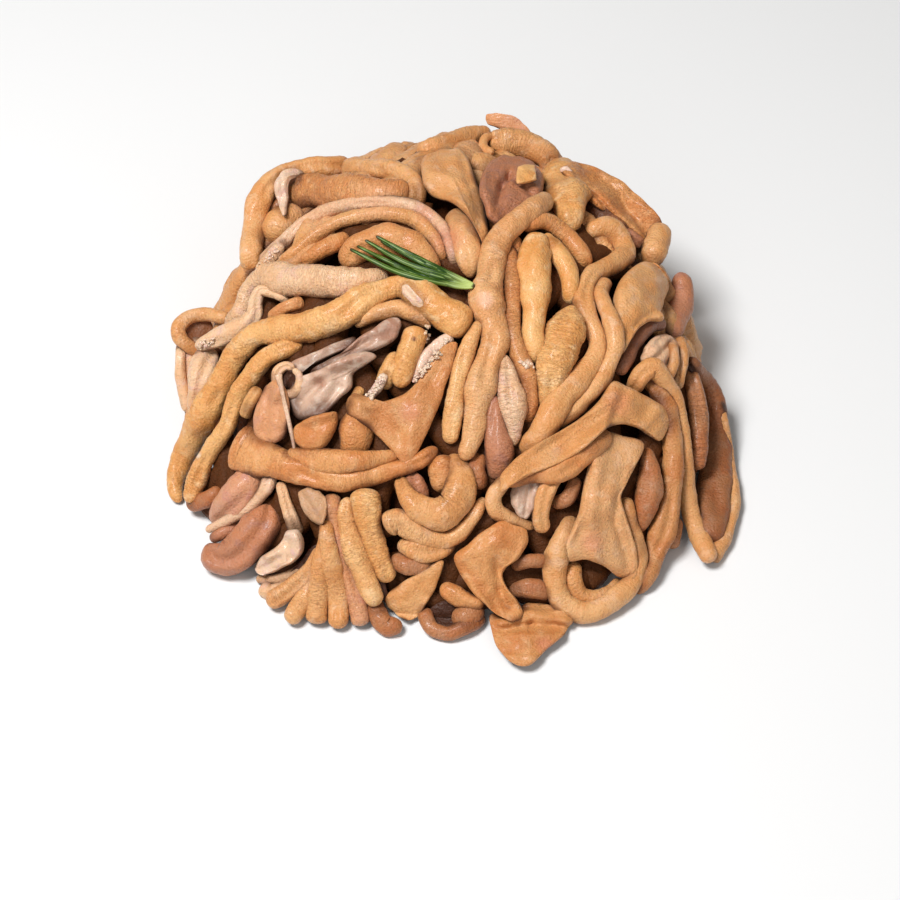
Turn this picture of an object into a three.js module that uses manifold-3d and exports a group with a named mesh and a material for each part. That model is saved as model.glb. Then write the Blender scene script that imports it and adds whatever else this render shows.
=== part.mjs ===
// Cooked chicken intestine, heaped in loose loops, with a small rosemary sprig lying on top.
// Millimetres, +Z up. The origin is the middle of the flat underside on which the heap lies.
// The heap is one solid: a low mound as its core, with every strand that shows fused onto it.
import * as THREE from 'three';
import { mergeVertices } from 'three/addons/utils/BufferGeometryUtils.js';
import Module from 'manifold-3d';

// Core mound
const CORE_HEIGHT = 70;
const CORE_RADIUS = 91;
const CORE_LEAN = 43;
const CORE_DEPTH_BELOW = 6;
const PLAN_ROUNDNESS = 2.3;
const DOME_ROUNDNESS = 1.8;
const CORE_SECTORS = 18;
const CORE_BANDS = 9;
// How far its plan departs from a circle: moved back, drawn out sideways, three-lobed
const PLAN_SHIFT = 2;
const PLAN_STRETCH = 2;
const PLAN_LOBES = 5;
const SLOPE_STEP = 0.5;

// Strand: a soft tube, pressed a little flat, that sinks a little into what it lies on.
// Stand-off and gaps are shares of its half thickness.
const THICKNESS_RATIO = 0.86;
const THICKNESS_LIMIT = 10.5;
const STAND_OFF = 0.55;
const BACK_STAND_OFF = -0.15;
const GROUND_GAP = 0.9;
const BACK_GROUND_GAP = 0.84;
const SQUEEZE = 0.6;
const BACK_SQUEEZE = 0.4;
const SMOOTHING_PASSES = 4;
const SAMPLE_STEP = 3.2;
const RING_STEP = 13;
const RING_TURN = THREE.MathUtils.degToRad(48);
const WIDE_STRAND = 7.2;
const WIDE_SIDES = 6;
const NARROW_SIDES = 5;
const MOST_BEND = 0.75;
const FACET_SWELL = 1.07;
const END_REACH = 0.6;
const BEND_SPAN = 0.02;
const LEAST_FLAT = 0.25;

// Viewing position from which the strands' routes are laid out.
// A route point is [across, down, width]: the first two are where the strand's middle line
// appears in a square view VIEW_SIZE units on a side, and the width is in millimetres.
const VIEW_SIZE = 900;
const VIEW_FOCAL = 2400;
const VIEW_DISTANCE = 860.4;
const VIEW_ELEVATION = THREE.MathUtils.degToRad(51.13);
const VIEW_AIM = new THREE.Vector3(0, -11.6, 0);
const SIGHT_TOP = 130;
const SIGHT_STEP = 1;

// Block that cuts the heap flat underneath, and the distance at which corners are welded
const GROUND_SIZE = 600;
const GROUND_DEPTH = 100;
const WELD = 1e-4;

// Hanging loops and crossing arcs on the far side, laid round the mound by one rule.
// Angles run round the mound from +X; slopes run from 0 at the top to 90 at the foot.
const BACK_LOOPS = 7;
const BACK_FIRST_ANGLE = 18;
const BACK_LAST_ANGLE = 164;
const BACK_LOOP_WIDTH = 11;
const BACK_LOOP_SHIFT = 0.3;
const BACK_LOOP_LEG = 0.52;
const BACK_LOOP_BELLY = 1.3;
const BACK_LOOP_FOOT = 87;
const BACK_LOOP_FOOT_SPREAD = 6;
const BACK_LOOP_FOOT_RISE = 7;
const BACK_LOOP_TOP = 46;
const BACK_LOOP_TOP_STAGGER = 8;
const BACK_TOP_SPREAD = 4;
const BACK_WIDTH_LEAST = 0.85;
const BACK_WIDTH_SPREAD = 0.3;
const BACK_LEG_SAMPLES = 5;
const BACK_ARCS = 4;
const BACK_ARC_START = 26;
const BACK_ARC_TURN = 29;
const BACK_ARC_TURN_SPREAD = 6;
const BACK_ARC_SLOPE = 55;
const BACK_ARC_STAGGER = 7;
const BACK_ARC_SPREAD = 3;
// Shape of an arc: each point's turn and slope from the arc's start
const BACK_ARC_SHAPE = [[-4, 13], [14, 0], [36, 2], [50, 15]];

// Rosemary sprig
const NEEDLE_WIDTH = 2.3;
const NEEDLE_THICKNESS = 1.4;
const NEEDLE_TIP = 0.5;
const NEEDLE_FOOT = 0.8;
const NEEDLE_SIDES = 4;
const NEEDLE_RING_STEP = 16;
const SPRIG_CLEARANCE = 1.12;
const SPRIG_LIFT = 0.8;

// Strands of the heap, from the lowest to the topmost
const STRANDS = [
  // left edge: two hanging strands and the small ring above them
  {
    name: 'left_hanging_inner',
    route: [
      [209, 350, 8], [203, 372, 8.5], [198, 395, 6.5], [192, 415, 4.5],
    ],
  },
  {
    name: 'left_ring',
    route: [
      [230, 320, 4.8], [206, 314, 5], [187, 318, 5], [178, 330, 5], [184, 343, 4.5], [197, 351, 4],
    ],
  },

  // far rim and crown
  { name: 'rim_fat', route: [[303, 172, 8], [287, 175, 9], [279, 188, 9], [277, 204, 8]] },
  {
    name: 'rim_left',
    route: [
      [345, 162, 7], [310, 165, 7.2], [283, 173, 7.2], [264, 192, 7.5], [255, 216, 8],
      [251, 245, 8], [252, 270, 7],
    ],
  },
  { name: 'rim_bulge', route: [[302, 214, 11], [285, 222, 12.5], [268, 240, 9]] },
  { name: 'crown_back', route: [[418, 153, 5], [445, 143, 5.8], [470, 136, 5.8], [489, 133, 5]] },
  {
    name: 'second_finger',
    route: [
      [345, 168, 7], [380, 169, 7.2], [405, 175, 7], [416, 190, 6.5], [414, 206, 6],
    ],
  },
  { name: 'back_finger', route: [[284, 190, 11], [330, 192, 12], [370, 194, 12], [410, 197, 11]] },
  {
    name: 'crown_tube',
    route: [
      [488, 143, 8], [510, 141, 8.6], [530, 146, 8.6], [547, 156, 8.6], [556, 170, 8],
    ],
  },
  {
    name: 'crown_left',
    route: [
      [436, 160, 14], [452, 180, 18], [468, 202, 12], [481, 222, 7.5], [484, 242, 6], [478, 265, 5],
    ],
  },
  { name: 'crown_twin', route: [[455, 212, 7], [463, 235, 8.6], [468, 255, 8.6], [471, 278, 5]] },
  { name: 'dark_fold_left', route: [[506, 160, 8], [491, 180, 10], [489, 200, 10], [496, 218, 8]] },
  { name: 'dark_fold_right', route: [[541, 184, 9], [523, 195, 11], [507, 213, 9]] },
  { name: 'right_crown_drop', route: [[559, 162, 10], [564, 188, 16], [570, 212, 11], [573, 232, 5]] },
  { name: 'right_crown_inner', route: [[574, 180, 10], [594, 199, 14], [615, 219, 14], [636, 240, 10]] },
  {
    name: 'right_crown',
    route: [
      [580, 165, 8.5], [600, 180, 9.5], [620, 197, 10.5], [640, 218, 10.5], [656, 234, 9],
    ],
  },
  { name: 'right_shoulder', route: [[659, 226, 7], [654, 246, 7.5], [648, 266, 7]] },

  // upper left: the orange dome, the double arc over it and the wide pale strap
  {
    name: 'dome',
    route: [
      [343, 264, 8], [362, 247, 10], [388, 241, 11], [412, 248, 10.5], [426, 262, 10],
      [431, 280, 8],
    ],
  },
  {
    name: 'arc_inner',
    route: [
      [281, 264, 4.3], [300, 248, 4.5], [325, 229, 4.5], [350, 218, 4.5], [385, 214, 4.5],
      [415, 220, 4.5], [435, 240, 4.5], [443, 260, 4],
    ],
  },
  {
    name: 'arc_outer',
    route: [
      [262, 263, 4.3], [285, 240, 4.5], [305, 222, 4.5], [330, 210, 4.5], [360, 203, 4.5],
      [395, 203, 4.5], [420, 210, 4.5], [441, 226, 4.5], [451, 246, 4.3], [456, 264, 4],
    ],
  },
  {
    name: 'pale_strap',
    route: [
      [388, 277, 6], [350, 282, 9], [320, 282, 10], [290, 280, 10], [266, 278, 8.5], [250, 288, 6],
      [245, 301, 5.5], [240, 314, 5.5], [226, 326, 4.5],
    ],
  },
  {
    name: 'pale_ridge',
    route: [
      [290, 300, 3], [274, 293, 3.6], [261, 291, 4.3], [256, 301, 4.5], [255, 313, 5],
      [246, 325, 5.8], [228, 333, 6.5], [208, 342, 5.8], [196, 348, 4],
    ],
  },

  // middle left hollow: glossy membranes, plump chunks and the open tube end
  {
    name: 'membrane_front',
    route: [
      [305, 373, 4], [325, 362, 5], [345, 357, 6.5], [362, 352, 7.5], [380, 338, 7.5],
      [395, 324, 6],
    ],
  },
  { name: 'membrane_lump', route: [[340, 378, 11], [320, 394, 14], [300, 406, 10]] },
  { name: 'plump_left', route: [[273, 390, 8], [268, 410, 10], [270, 428, 10], [278, 444, 9]] },
  { name: 'plump_orange', route: [[338, 424, 9], [316, 434, 11], [298, 443, 9]] },
  { name: 'plump_side', route: [[358, 426, 8.5], [352, 454, 8.5]] },

  // long left twins, from the far corner round to the near left foot
  {
    name: 'left_twin_inner',
    route: [
      [302, 343, 3.5], [282, 350, 5.8], [266, 358, 7], [253, 373, 7], [240, 392, 6.5],
      [232, 410, 5.8], [226, 428, 5.8], [214, 445, 6.5], [204, 462, 5.8], [196, 482, 5.8],
      [188, 503, 4.5],
    ],
  },
  {
    name: 'left_twin_outer',
    route: [
      [470, 329, 8.5], [452, 318, 10], [430, 302, 10], [405, 287, 8.5], [388, 289, 8],
      [365, 300, 9], [340, 315, 10], [310, 325, 9], [280, 330, 8], [255, 335, 7.5], [238, 352, 8.5],
      [227, 372, 8.5], [216, 392, 9], [207, 410, 10], [196, 430, 9], [186, 449, 8], [178, 468, 6.8],
      [175, 488, 5.5], [180, 503, 4],
    ],
  },

  // fingers and flap over the hollow
  { name: 'finger_spotted', route: [[417, 326, 8], [413, 343, 8.3], [406, 362, 7], [399, 388, 5.5]] },
  { name: 'finger_plain', route: [[397, 352, 4.5], [390, 368, 6], [383, 388, 5.5]] },

  // near left: mauve folds and the glossy fat curl
  {
    name: 'mauve_fold',
    route: [
      [268, 504, 6.5], [263, 522, 10.5], [250, 540, 12], [235, 556, 12], [218, 558, 11],
      [207, 544, 7],
    ],
  },
  { name: 'pink_fold', route: [[258, 470, 9], [243, 490, 12], [230, 506, 10], [214, 523, 6]] },
  {
    name: 'thin_fold_lower',
    route: [
      [261, 588, 4.5], [270, 592, 4.8], [283, 588, 4], [294, 580, 3.5], [305, 571, 3],
    ],
  },
  {
    name: 'fat_curl',
    route: [
      [291, 532, 6], [297, 546, 8], [289, 558, 8], [274, 563, 8], [261, 568, 6.5],
    ],
  },

  // near left fan: fingers that spread out to the front edge
  { name: 'fan_finger_2', route: [[288, 627, 7], [298, 609, 7], [306, 598, 5.5], [316, 586, 4]] },
  {
    name: 'fan_finger_1',
    route: [
      [267, 609, 7.5], [290, 594, 8.5], [304, 579, 8], [314, 566, 6], [320, 550, 5],
    ],
  },
  {
    name: 'fan_finger_3',
    route: [
      [314, 624, 6.5], [319, 600, 7], [318, 580, 6], [319, 560, 6], [323, 537, 5],
    ],
  },
  {
    name: 'fan_finger_5',
    route: [
      [358, 630, 6.5], [354, 610, 7.5], [347, 588, 6], [341, 565, 5.5], [335, 545, 5.5],
      [331, 520, 5], [333, 495, 5],
    ],
  },
  {
    name: 'fan_finger_4',
    route: [
      [340, 632, 6.5], [337, 605, 6.5], [332, 582, 5.8], [327, 562, 5], [324, 545, 4.5],
    ],
  },
  { name: 'fan_grey_piece', route: [[300, 495, 6], [310, 510, 8], [316, 526, 6]], thickness: 4 },
  {
    name: 'fan_yellow_left',
    route: [
      [348, 497, 4.5], [346, 515, 5.5], [350, 535, 6.3], [358, 560, 7.3], [367, 582, 7.5],
      [377, 606, 6],
    ],
  },
  {
    name: 'fan_yellow_right',
    route: [
      [365, 488, 8.5], [366, 510, 9], [371, 532, 7.3], [377, 552, 6.5], [384, 568, 6.5],
      [390, 582, 5.5],
    ],
  },

  // near middle: nested loops, open flap and the open mouth at the front edge
  {
    name: 'mouth_under',
    route: [
      [424, 610, 4.5], [431, 627, 5], [447, 633, 5], [463, 628, 5.5], [482, 616, 5],
    ],
  },
  { name: 'mouth_lobe', route: [[452, 618, 6.5], [465, 617, 8], [482, 608, 6]] },
  { name: 'small_curl', route: [[441, 585, 4.5], [455, 595, 6.5], [470, 602, 4.5], [484, 604, 3]] },
  {
    name: 'open_flap',
    thickness: 5.5,
    route: [
      [437, 564, 5], [430, 580, 10], [417, 596, 14], [402, 607, 9],
    ],
  },
  {
    name: 'nest_low',
    route: [
      [399, 543, 4.5], [413, 549, 6], [428, 553, 6], [444, 550, 4], [454, 543, 3.5],
    ],
  },
  {
    name: 'nest_middle',
    route: [
      [384, 527, 7.5], [398, 522, 8], [413, 529, 8], [430, 538, 6.5], [447, 540, 5.8],
      [462, 531, 5], [475, 515, 4.3], [484, 498, 3.6],
    ],
  },
  {
    name: 'nest_outer',
    route: [
      [450, 455, 5], [459, 472, 8.6], [460, 491, 9], [452, 507, 9.5], [437, 513, 9.5],
      [420, 508, 8.5], [407, 495, 6], [400, 477, 5],
    ],
  },
  { name: 'nest_flap', route: [[440, 458, 8], [443, 475, 9], [440, 492, 6]] },

  // right backdrop
  { name: 'backdrop_right', route: [[680, 272, 6], [682, 296, 8], [678, 316, 8], [671, 338, 6]] },
  {
    name: 'right_blob',
    route: [
      [652, 264, 12], [642, 284, 18], [638, 302, 17], [632, 320, 10], [624, 342, 5],
    ],
  },
  {
    name: 'right_arch',
    route: [
      [666, 326, 4.5], [650, 322, 5], [640, 330, 5], [632, 344, 5], [626, 360, 5], [617, 374, 4.5],
    ],
  },
  { name: 'right_lump', route: [[660, 337, 8], [655, 357, 8]] },
  { name: 'right_side_inner', route: [[672, 343, 3.6], [674, 362, 3.8], [666, 380, 3.6]] },

  // middle: the strands that run down from the crown
  {
    name: 'middle_short',
    route: [
      [494, 395, 3.6], [494, 415, 5], [496, 435, 6.5], [499, 456, 9], [498, 478, 8],
    ],
  },
  {
    name: 'column_right',
    route: [
      [510, 248, 4.5], [512, 280, 5], [513, 310, 5], [513, 335, 5.5], [519, 355, 5.8],
      [528, 378, 5.8], [530, 400, 5.5], [528, 422, 4.5],
    ],
  },
  {
    name: 'column_spindle',
    route: [
      [504, 354, 3], [508, 375, 6.5], [511, 395, 8.5], [513, 415, 7.5], [514, 432, 5],
      [514, 446, 3],
    ],
  },
  {
    name: 'column_left',
    route: [
      [480, 321, 3], [470, 342, 5], [464, 360, 5.5], [458, 380, 5.8], [455, 400, 6.3],
      [452, 420, 6], [450, 444, 4.5],
    ],
  },
  {
    name: 'column_main',
    route: [
      [550, 199, 6.5], [525, 214, 7], [504, 235, 8.5], [493, 255, 8.5], [490, 276, 10],
      [485, 297, 13], [490, 318, 10], [495, 338, 8.5], [490, 357, 8.5], [482, 380, 9],
      [477, 405, 8], [475, 425, 7.8], [470, 445, 7], [462, 460, 5],
    ],
  },
  {
    name: 'column_arch',
    route: [
      [522, 228, 4.5], [542, 221, 5], [560, 229, 5.5], [574, 243, 6], [584, 258, 6], [586, 268, 5],
    ],
  },
  {
    name: 'long_loop_right',
    route: [
      [542, 241, 7], [556, 251, 7], [567, 268, 6.5], [571, 286, 5.5], [570, 304, 4.5],
    ],
  },
  {
    name: 'long_loop_left',
    route: [
      [549, 240, 6], [538, 246, 9], [533, 264, 10.5], [535, 286, 10], [535, 310, 8], [533, 332, 7],
      [536, 348, 6.5], [536, 364, 4],
    ],
  },
  {
    name: 'wrinkled_spindle',
    route: [
      [573, 305, 5], [567, 328, 12.5], [560, 350, 12.5], [553, 372, 10], [549, 395, 7],
      [545, 414, 4.5],
    ],
  },
  {
    name: 'curl_twin',
    route: [
      [607, 280, 4.5], [601, 295, 5.8], [607, 311, 5.8], [614, 328, 5.8], [615, 348, 5.8],
      [608, 366, 5.8], [599, 381, 5.8], [586, 395, 6.3], [570, 410, 6.5], [552, 426, 6],
    ],
  },
  {
    name: 'curl_main',
    route: [
      [585, 233, 6], [604, 227, 7], [620, 238, 7], [625, 254, 7], [611, 265, 6.5], [593, 274, 6.5],
      [584, 290, 6.5], [584, 306, 6.5], [590, 321, 6.5], [597, 337, 6.5], [597, 353, 6.5],
      [588, 369, 7], [576, 383, 7.5], [563, 396, 7.8], [552, 413, 8], [541, 434, 8],
      [526, 454, 6.5],
    ],
  },

  // flap that hangs over the near left strap
  {
    name: 'strap_near',
    route: [
      [222, 458, 7], [250, 448, 14], [275, 459, 9.5], [302, 471, 8.6], [330, 479, 7.5],
      [360, 477, 6.8], [390, 470, 5.8], [415, 463, 5], [437, 448, 3.6],
    ],
  },
  {
    name: 'strap_upper',
    route: [
      [288, 453, 4.3], [320, 461, 7], [350, 461, 6.5], [380, 458, 5], [402, 455, 3],
    ],
  },
  { name: 'flap_lobe', route: [[412, 411, 14], [378, 410, 12], [350, 408, 6.5]], thickness: 6 },
  {
    name: 'flap',
    thickness: 6.5,
    route: [
      [451, 347, 7], [439, 375, 13], [426, 400, 20], [412, 426, 17], [404, 461, 4],
    ],
  },

  // lower right: cup-shaped outer sheet, hanging strands, ring and skirt
  {
    name: 'outer_sheet',
    thickness: 7,
    route: [
      [688, 358, 4.5], [706, 382, 5], [714, 402, 7], [716, 430, 9], [715, 475, 12], [712, 510, 12],
      [710, 545, 7],
    ],
  },
  {
    name: 'inner_edge',
    route: [
      [684, 436, 3.6], [686, 470, 4], [686, 500, 4.5], [690, 520, 5.5], [700, 541, 6.5],
      [712, 562, 6.5],
    ],
  },
  {
    name: 'right_hanging',
    route: [
      [690, 370, 5.5], [697, 400, 6], [698, 430, 6], [698, 455, 6], [697, 470, 5],
    ],
  },
  { name: 'fold_left_leg', route: [[636, 378, 6.5], [646, 390, 8], [657, 405, 8]] },
  {
    name: 'fold_right_leg',
    route: [
      [648, 366, 4], [661, 380, 5], [671, 400, 5.5], [678, 425, 5.5], [683, 455, 4.5],
      [683, 480, 4],
    ],
  },
  {
    name: 'side_leg',
    route: [
      [672, 440, 4.5], [671, 470, 6], [668, 500, 7.5], [662, 528, 8], [655, 553, 7.5],
      [647, 574, 6.5], [632, 593, 5],
    ],
  },
  {
    name: 'side_spindle',
    route: [
      [646, 448, 4], [650, 472, 7], [649, 495, 8], [644, 515, 6], [639, 532, 3],
    ],
  },
  {
    name: 'ring_inner',
    route: [
      [582, 556, 7], [578, 578, 8], [585, 594, 7.5], [600, 598, 6.5], [611, 588, 5], [619, 576, 4],
    ],
  },
  {
    name: 'ring',
    route: [
      [578, 512, 4.5], [566, 538, 6], [558, 560, 6.3], [556, 582, 6.5], [562, 601, 6.5],
      [575, 612, 6.3], [592, 611, 6], [609, 602, 6], [626, 588, 6], [635, 568, 5.5],
      [635, 545, 5.5], [630, 520, 5.5], [624, 498, 4.5],
    ],
  },
  {
    name: 'skirt',
    thickness: 8,
    route: [
      [614, 436, 15], [607, 475, 16], [601, 497, 13.5], [598, 517, 13.5], [600, 537, 15],
      [606, 556, 15], [612, 569, 9],
    ],
  },

  // near right: the strap across, its tail loop and what lies in it
  { name: 'tail_membrane', route: [[528, 482, 7], [521, 498, 8.5], [523, 514, 6]], thickness: 4.5 },
  { name: 'tail_strand', route: [[557, 472, 5], [547, 490, 5.8], [541, 510, 5.5], [543, 533, 5]] },
  {
    name: 'tail_loop',
    route: [
      [508, 478, 5.5], [494, 495, 5.5], [497, 511, 5.5], [515, 521, 4.5], [534, 527, 3],
    ],
  },
  {
    name: 'strap_across_low',
    route: [
      [606, 432, 7], [580, 457, 7], [556, 472, 6.5], [532, 474, 5.5], [507, 482, 5],
    ],
  },
  {
    name: 'strap_across',
    thickness: 9,
    route: [
      [663, 424, 13], [645, 412, 17], [620, 405, 14], [594, 424, 11.5], [567, 444, 10],
      [541, 456, 8.5], [516, 467, 7], [502, 483, 5.5],
    ],
  },

  // near front: the big fold and the tip that reaches furthest forward
  {
    name: 'tip_lower',
    thickness: 8,
    route: [
      [508, 640, 12], [522, 655, 14.5], [536, 649, 13.5], [551, 639, 10], [567, 628, 7],
    ],
  },
  {
    name: 'tip_upper',
    thickness: 9,
    route: [
      [496, 624, 8], [514, 630, 11], [532, 619, 11], [548, 620, 8], [562, 620, 6.5], [576, 615, 5],
    ],
  },
  { name: 'big_fold_inner', route: [[494, 556, 8], [496, 575, 9], [504, 592, 10], [513, 610, 8]] },
  {
    name: 'big_fold',
    thickness: 9,
    route: [
      [516, 534, 10], [505, 546, 15], [488, 553, 17], [474, 564, 15], [482, 588, 13],
      [496, 607, 10], [509, 620, 5],
    ],
  },
];

// Rosemary needles, each [tip, middle, foot] as [across, down], and the short bare stem
const SPRIG_FOOT = [474, 286];
const NEEDLES = [
  [[350, 249], [398, 272], [448, 284]],
  [[357, 246], [404, 268], [452, 281]],
  [[365, 240], [404, 262], [449, 277]],
  [[371, 244], [415, 268], [458, 282]],
  [[376, 236], [414, 257], [456, 277]],
  [[373, 255], [415, 274], [457, 286]],
  [[381, 241], [421, 262], [461, 281]],
  [[390, 259], [428, 273], [464, 284]],
  [[400, 248], [434, 266], [466, 282]],
];

// Looks
const SKIN_COLOR = 0xd79a63;
const SKIN_ROUGHNESS = 0.55;
const SPRIG_COLOR = 0x2c5a26;
const SPRIG_ROUGHNESS = 0.45;

// Seeded random numbers from 0 to 1, the same in every run
let drawState = 7;

function draw() {
  drawState = (drawState * 16807) % 2147483647;
  return drawState / 2147483647;
}

// Plan radius of the mound at an angle: a little uneven, as a heap is
function planRadius(angle) {
  const shift = PLAN_SHIFT * Math.sin(angle);
  const stretch = PLAN_STRETCH * Math.cos(2 * angle);
  const lobes = PLAN_LOBES * Math.sin(3 * angle);
  return CORE_RADIUS - shift + stretch - lobes;
}

// Point of the mound's surface: slope runs from 0 at the top to a quarter turn at the foot
function corePoint(angle, slope) {
  const reach = planRadius(angle) * Math.sin(slope) ** (2 / PLAN_ROUNDNESS);
  const rise = Math.max(Math.cos(slope), 0) ** (2 / DOME_ROUNDNESS);
  return new THREE.Vector3(
    reach * Math.cos(angle),
    reach * Math.sin(angle) + CORE_LEAN * rise,
    CORE_HEIGHT * rise,
  );
}

// Level of a point against the mound: below 1 inside, above 1 outside
function coreLevel(point) {
  const rise = Math.max(point.z, 0) / CORE_HEIGHT;
  const y = point.y - CORE_LEAN * rise;
  const reach = Math.hypot(point.x, y) / planRadius(Math.atan2(y, point.x));
  return reach ** PLAN_ROUNDNESS + rise ** DOME_ROUNDNESS;
}

// Outward direction of the mound's surface, from the level's slope
function coreNormal(point) {
  const normal = new THREE.Vector3();
  for (const axis of ['x', 'y', 'z']) {
    const ahead = point.clone();
    const behind = point.clone();
    ahead[axis] += SLOPE_STEP;
    behind[axis] -= SLOPE_STEP;
    normal[axis] = coreLevel(ahead) - coreLevel(behind);
  }
  return normal.normalize();
}

const VIEW_FORWARD = new THREE.Vector3(0, Math.cos(VIEW_ELEVATION), -Math.sin(VIEW_ELEVATION));
const VIEW_UP = new THREE.Vector3(0, Math.sin(VIEW_ELEVATION), Math.cos(VIEW_ELEVATION));
const VIEW_RIGHT = new THREE.Vector3(1, 0, 0);
const VIEW_EYE = VIEW_AIM.clone().addScaledVector(VIEW_FORWARD, -VIEW_DISTANCE);

// Direction from the eye through a place in the view
function sightLine(across, down) {
  return VIEW_FORWARD.clone()
    .addScaledVector(VIEW_RIGHT, (across - VIEW_SIZE / 2) / VIEW_FOCAL)
    .addScaledVector(VIEW_UP, (VIEW_SIZE / 2 - down) / VIEW_FOCAL)
    .normalize();
}

// Where a sight line first meets the mound, or passes nearest to it above the ground
function sightHit(direction, groundGap) {
  const start = (VIEW_EYE.z - SIGHT_TOP) / -direction.z;
  const end = (VIEW_EYE.z - groundGap) / -direction.z;
  let best = end;
  let bestLevel = Infinity;
  for (let reach = start; reach <= end; reach += SIGHT_STEP) {
    const level = coreLevel(VIEW_EYE.clone().addScaledVector(direction, reach));
    if (level < bestLevel) {
      bestLevel = level;
      best = reach;
    }
    if (level <= 1) {
      break;
    }
  }
  return VIEW_EYE.clone().addScaledVector(direction, best);
}

// Smooth value list through control values, at a place from 0 to the last index
function catmullRom(values, place) {
  const last = values.length - 1;
  const index = Math.min(Math.floor(place), last - 1);
  const t = place - index;
  const p1 = values[index];
  const p2 = values[index + 1];
  const p0 = index > 0 ? values[index - 1] : 2 * p1 - p2;
  const p3 = index + 2 <= last ? values[index + 2] : 2 * p2 - p1;
  const a = 2 * p1;
  const b = p2 - p0;
  const c = 2 * p0 - 5 * p1 + 4 * p2 - p3;
  const d = 3 * p1 - p0 - 3 * p2 + p3;
  return 0.5 * (a + b * t + c * t * t + d * t * t * t);
}

// Smooth point through a route's points
function catmullRomPoint(route, place) {
  return [0, 1, 2].map((column) => catmullRom(route.map((point) => point[column]), place));
}

// Moves each sample outward until it clears the strands laid before it, then evens the moves out
function seatSamples(samples, laid, squeeze) {
  const lifts = samples.map((sample) => {
    let lift = 0;
    for (const other of laid) {
      const gap = squeeze * (sample.radius + other.radius);
      const away = sample.base.clone().sub(other.center);
      const along = away.dot(sample.outward);
      const inside = along * along - away.lengthSq() + gap * gap;
      if (inside > 0) {
        lift = Math.max(lift, Math.sqrt(inside) - along);
      }
    }
    return lift;
  });
  const reach = (list, index) => list[THREE.MathUtils.clamp(index, 0, list.length - 1)];
  let smooth = lifts.map((_, i) => Math.max(reach(lifts, i - 1), lifts[i], reach(lifts, i + 1)));
  for (let pass = 0; pass < SMOOTHING_PASSES; pass += 1) {
    smooth = smooth.map((lift, i) => (reach(smooth, i - 1) + 2 * lift + reach(smooth, i + 1)) / 4);
  }
  samples.forEach((sample, i) => {
    sample.center = sample.base.clone().addScaledVector(sample.outward, smooth[i]);
  });
}

// Samples of a strand whose route is given in the view
function viewSamples(route, thickness) {
  const samples = [];
  const last = route.length - 1;
  const pixels = VIEW_DISTANCE / VIEW_FOCAL;
  for (let leg = 0; leg < last; leg += 1) {
    const across = route[leg + 1][0] - route[leg][0];
    const down = route[leg + 1][1] - route[leg][1];
    const count = Math.max(1, Math.round((Math.hypot(across, down) * pixels) / SAMPLE_STEP));
    for (let k = 0; k < count + (leg === last - 1 ? 1 : 0); k += 1) {
      const [x, y, width] = catmullRomPoint(route, leg + k / count);
      const thick = Math.min(width * THICKNESS_RATIO, thickness);
      const radius = thick / 2;
      const direction = sightLine(x, y);
      const outward = direction.clone().negate();
      const base = sightHit(direction, GROUND_GAP * radius);
      base.addScaledVector(outward, STAND_OFF * radius);
      samples.push({ base, outward, width, thick, radius });
    }
  }
  return samples;
}

// Samples of a strand whose route is given round the mound, as [angle, slope, width] in degrees
function moundSamples(route, thickness) {
  const samples = [];
  const legs = route.length - 1;
  const count = legs * BACK_LEG_SAMPLES;
  for (let k = 0; k <= count; k += 1) {
    const [angle, slope, width] = catmullRomPoint(route, (k / count) * legs);
    const thick = Math.min(width * THICKNESS_RATIO, thickness);
    const radius = thick / 2;
    const base = corePoint(
      THREE.MathUtils.degToRad(angle),
      THREE.MathUtils.degToRad(Math.min(slope, 90)),
    );
    const outward = coreNormal(base);
    base.addScaledVector(outward, BACK_STAND_OFF * radius);
    base.z = Math.max(base.z, BACK_GROUND_GAP * radius);
    samples.push({ base, outward, width, thick, radius });
  }
  return samples;
}

// Sum of the turns along a strand, in radians
function totalTurn(samples) {
  let turn = 0;
  const stride = 2;
  for (let i = stride; i + stride < samples.length; i += stride) {
    const before = samples[i].center.clone().sub(samples[i - stride].center);
    const after = samples[i + stride].center.clone().sub(samples[i].center);
    turn += before.angleTo(after);
  }
  return turn;
}

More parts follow.
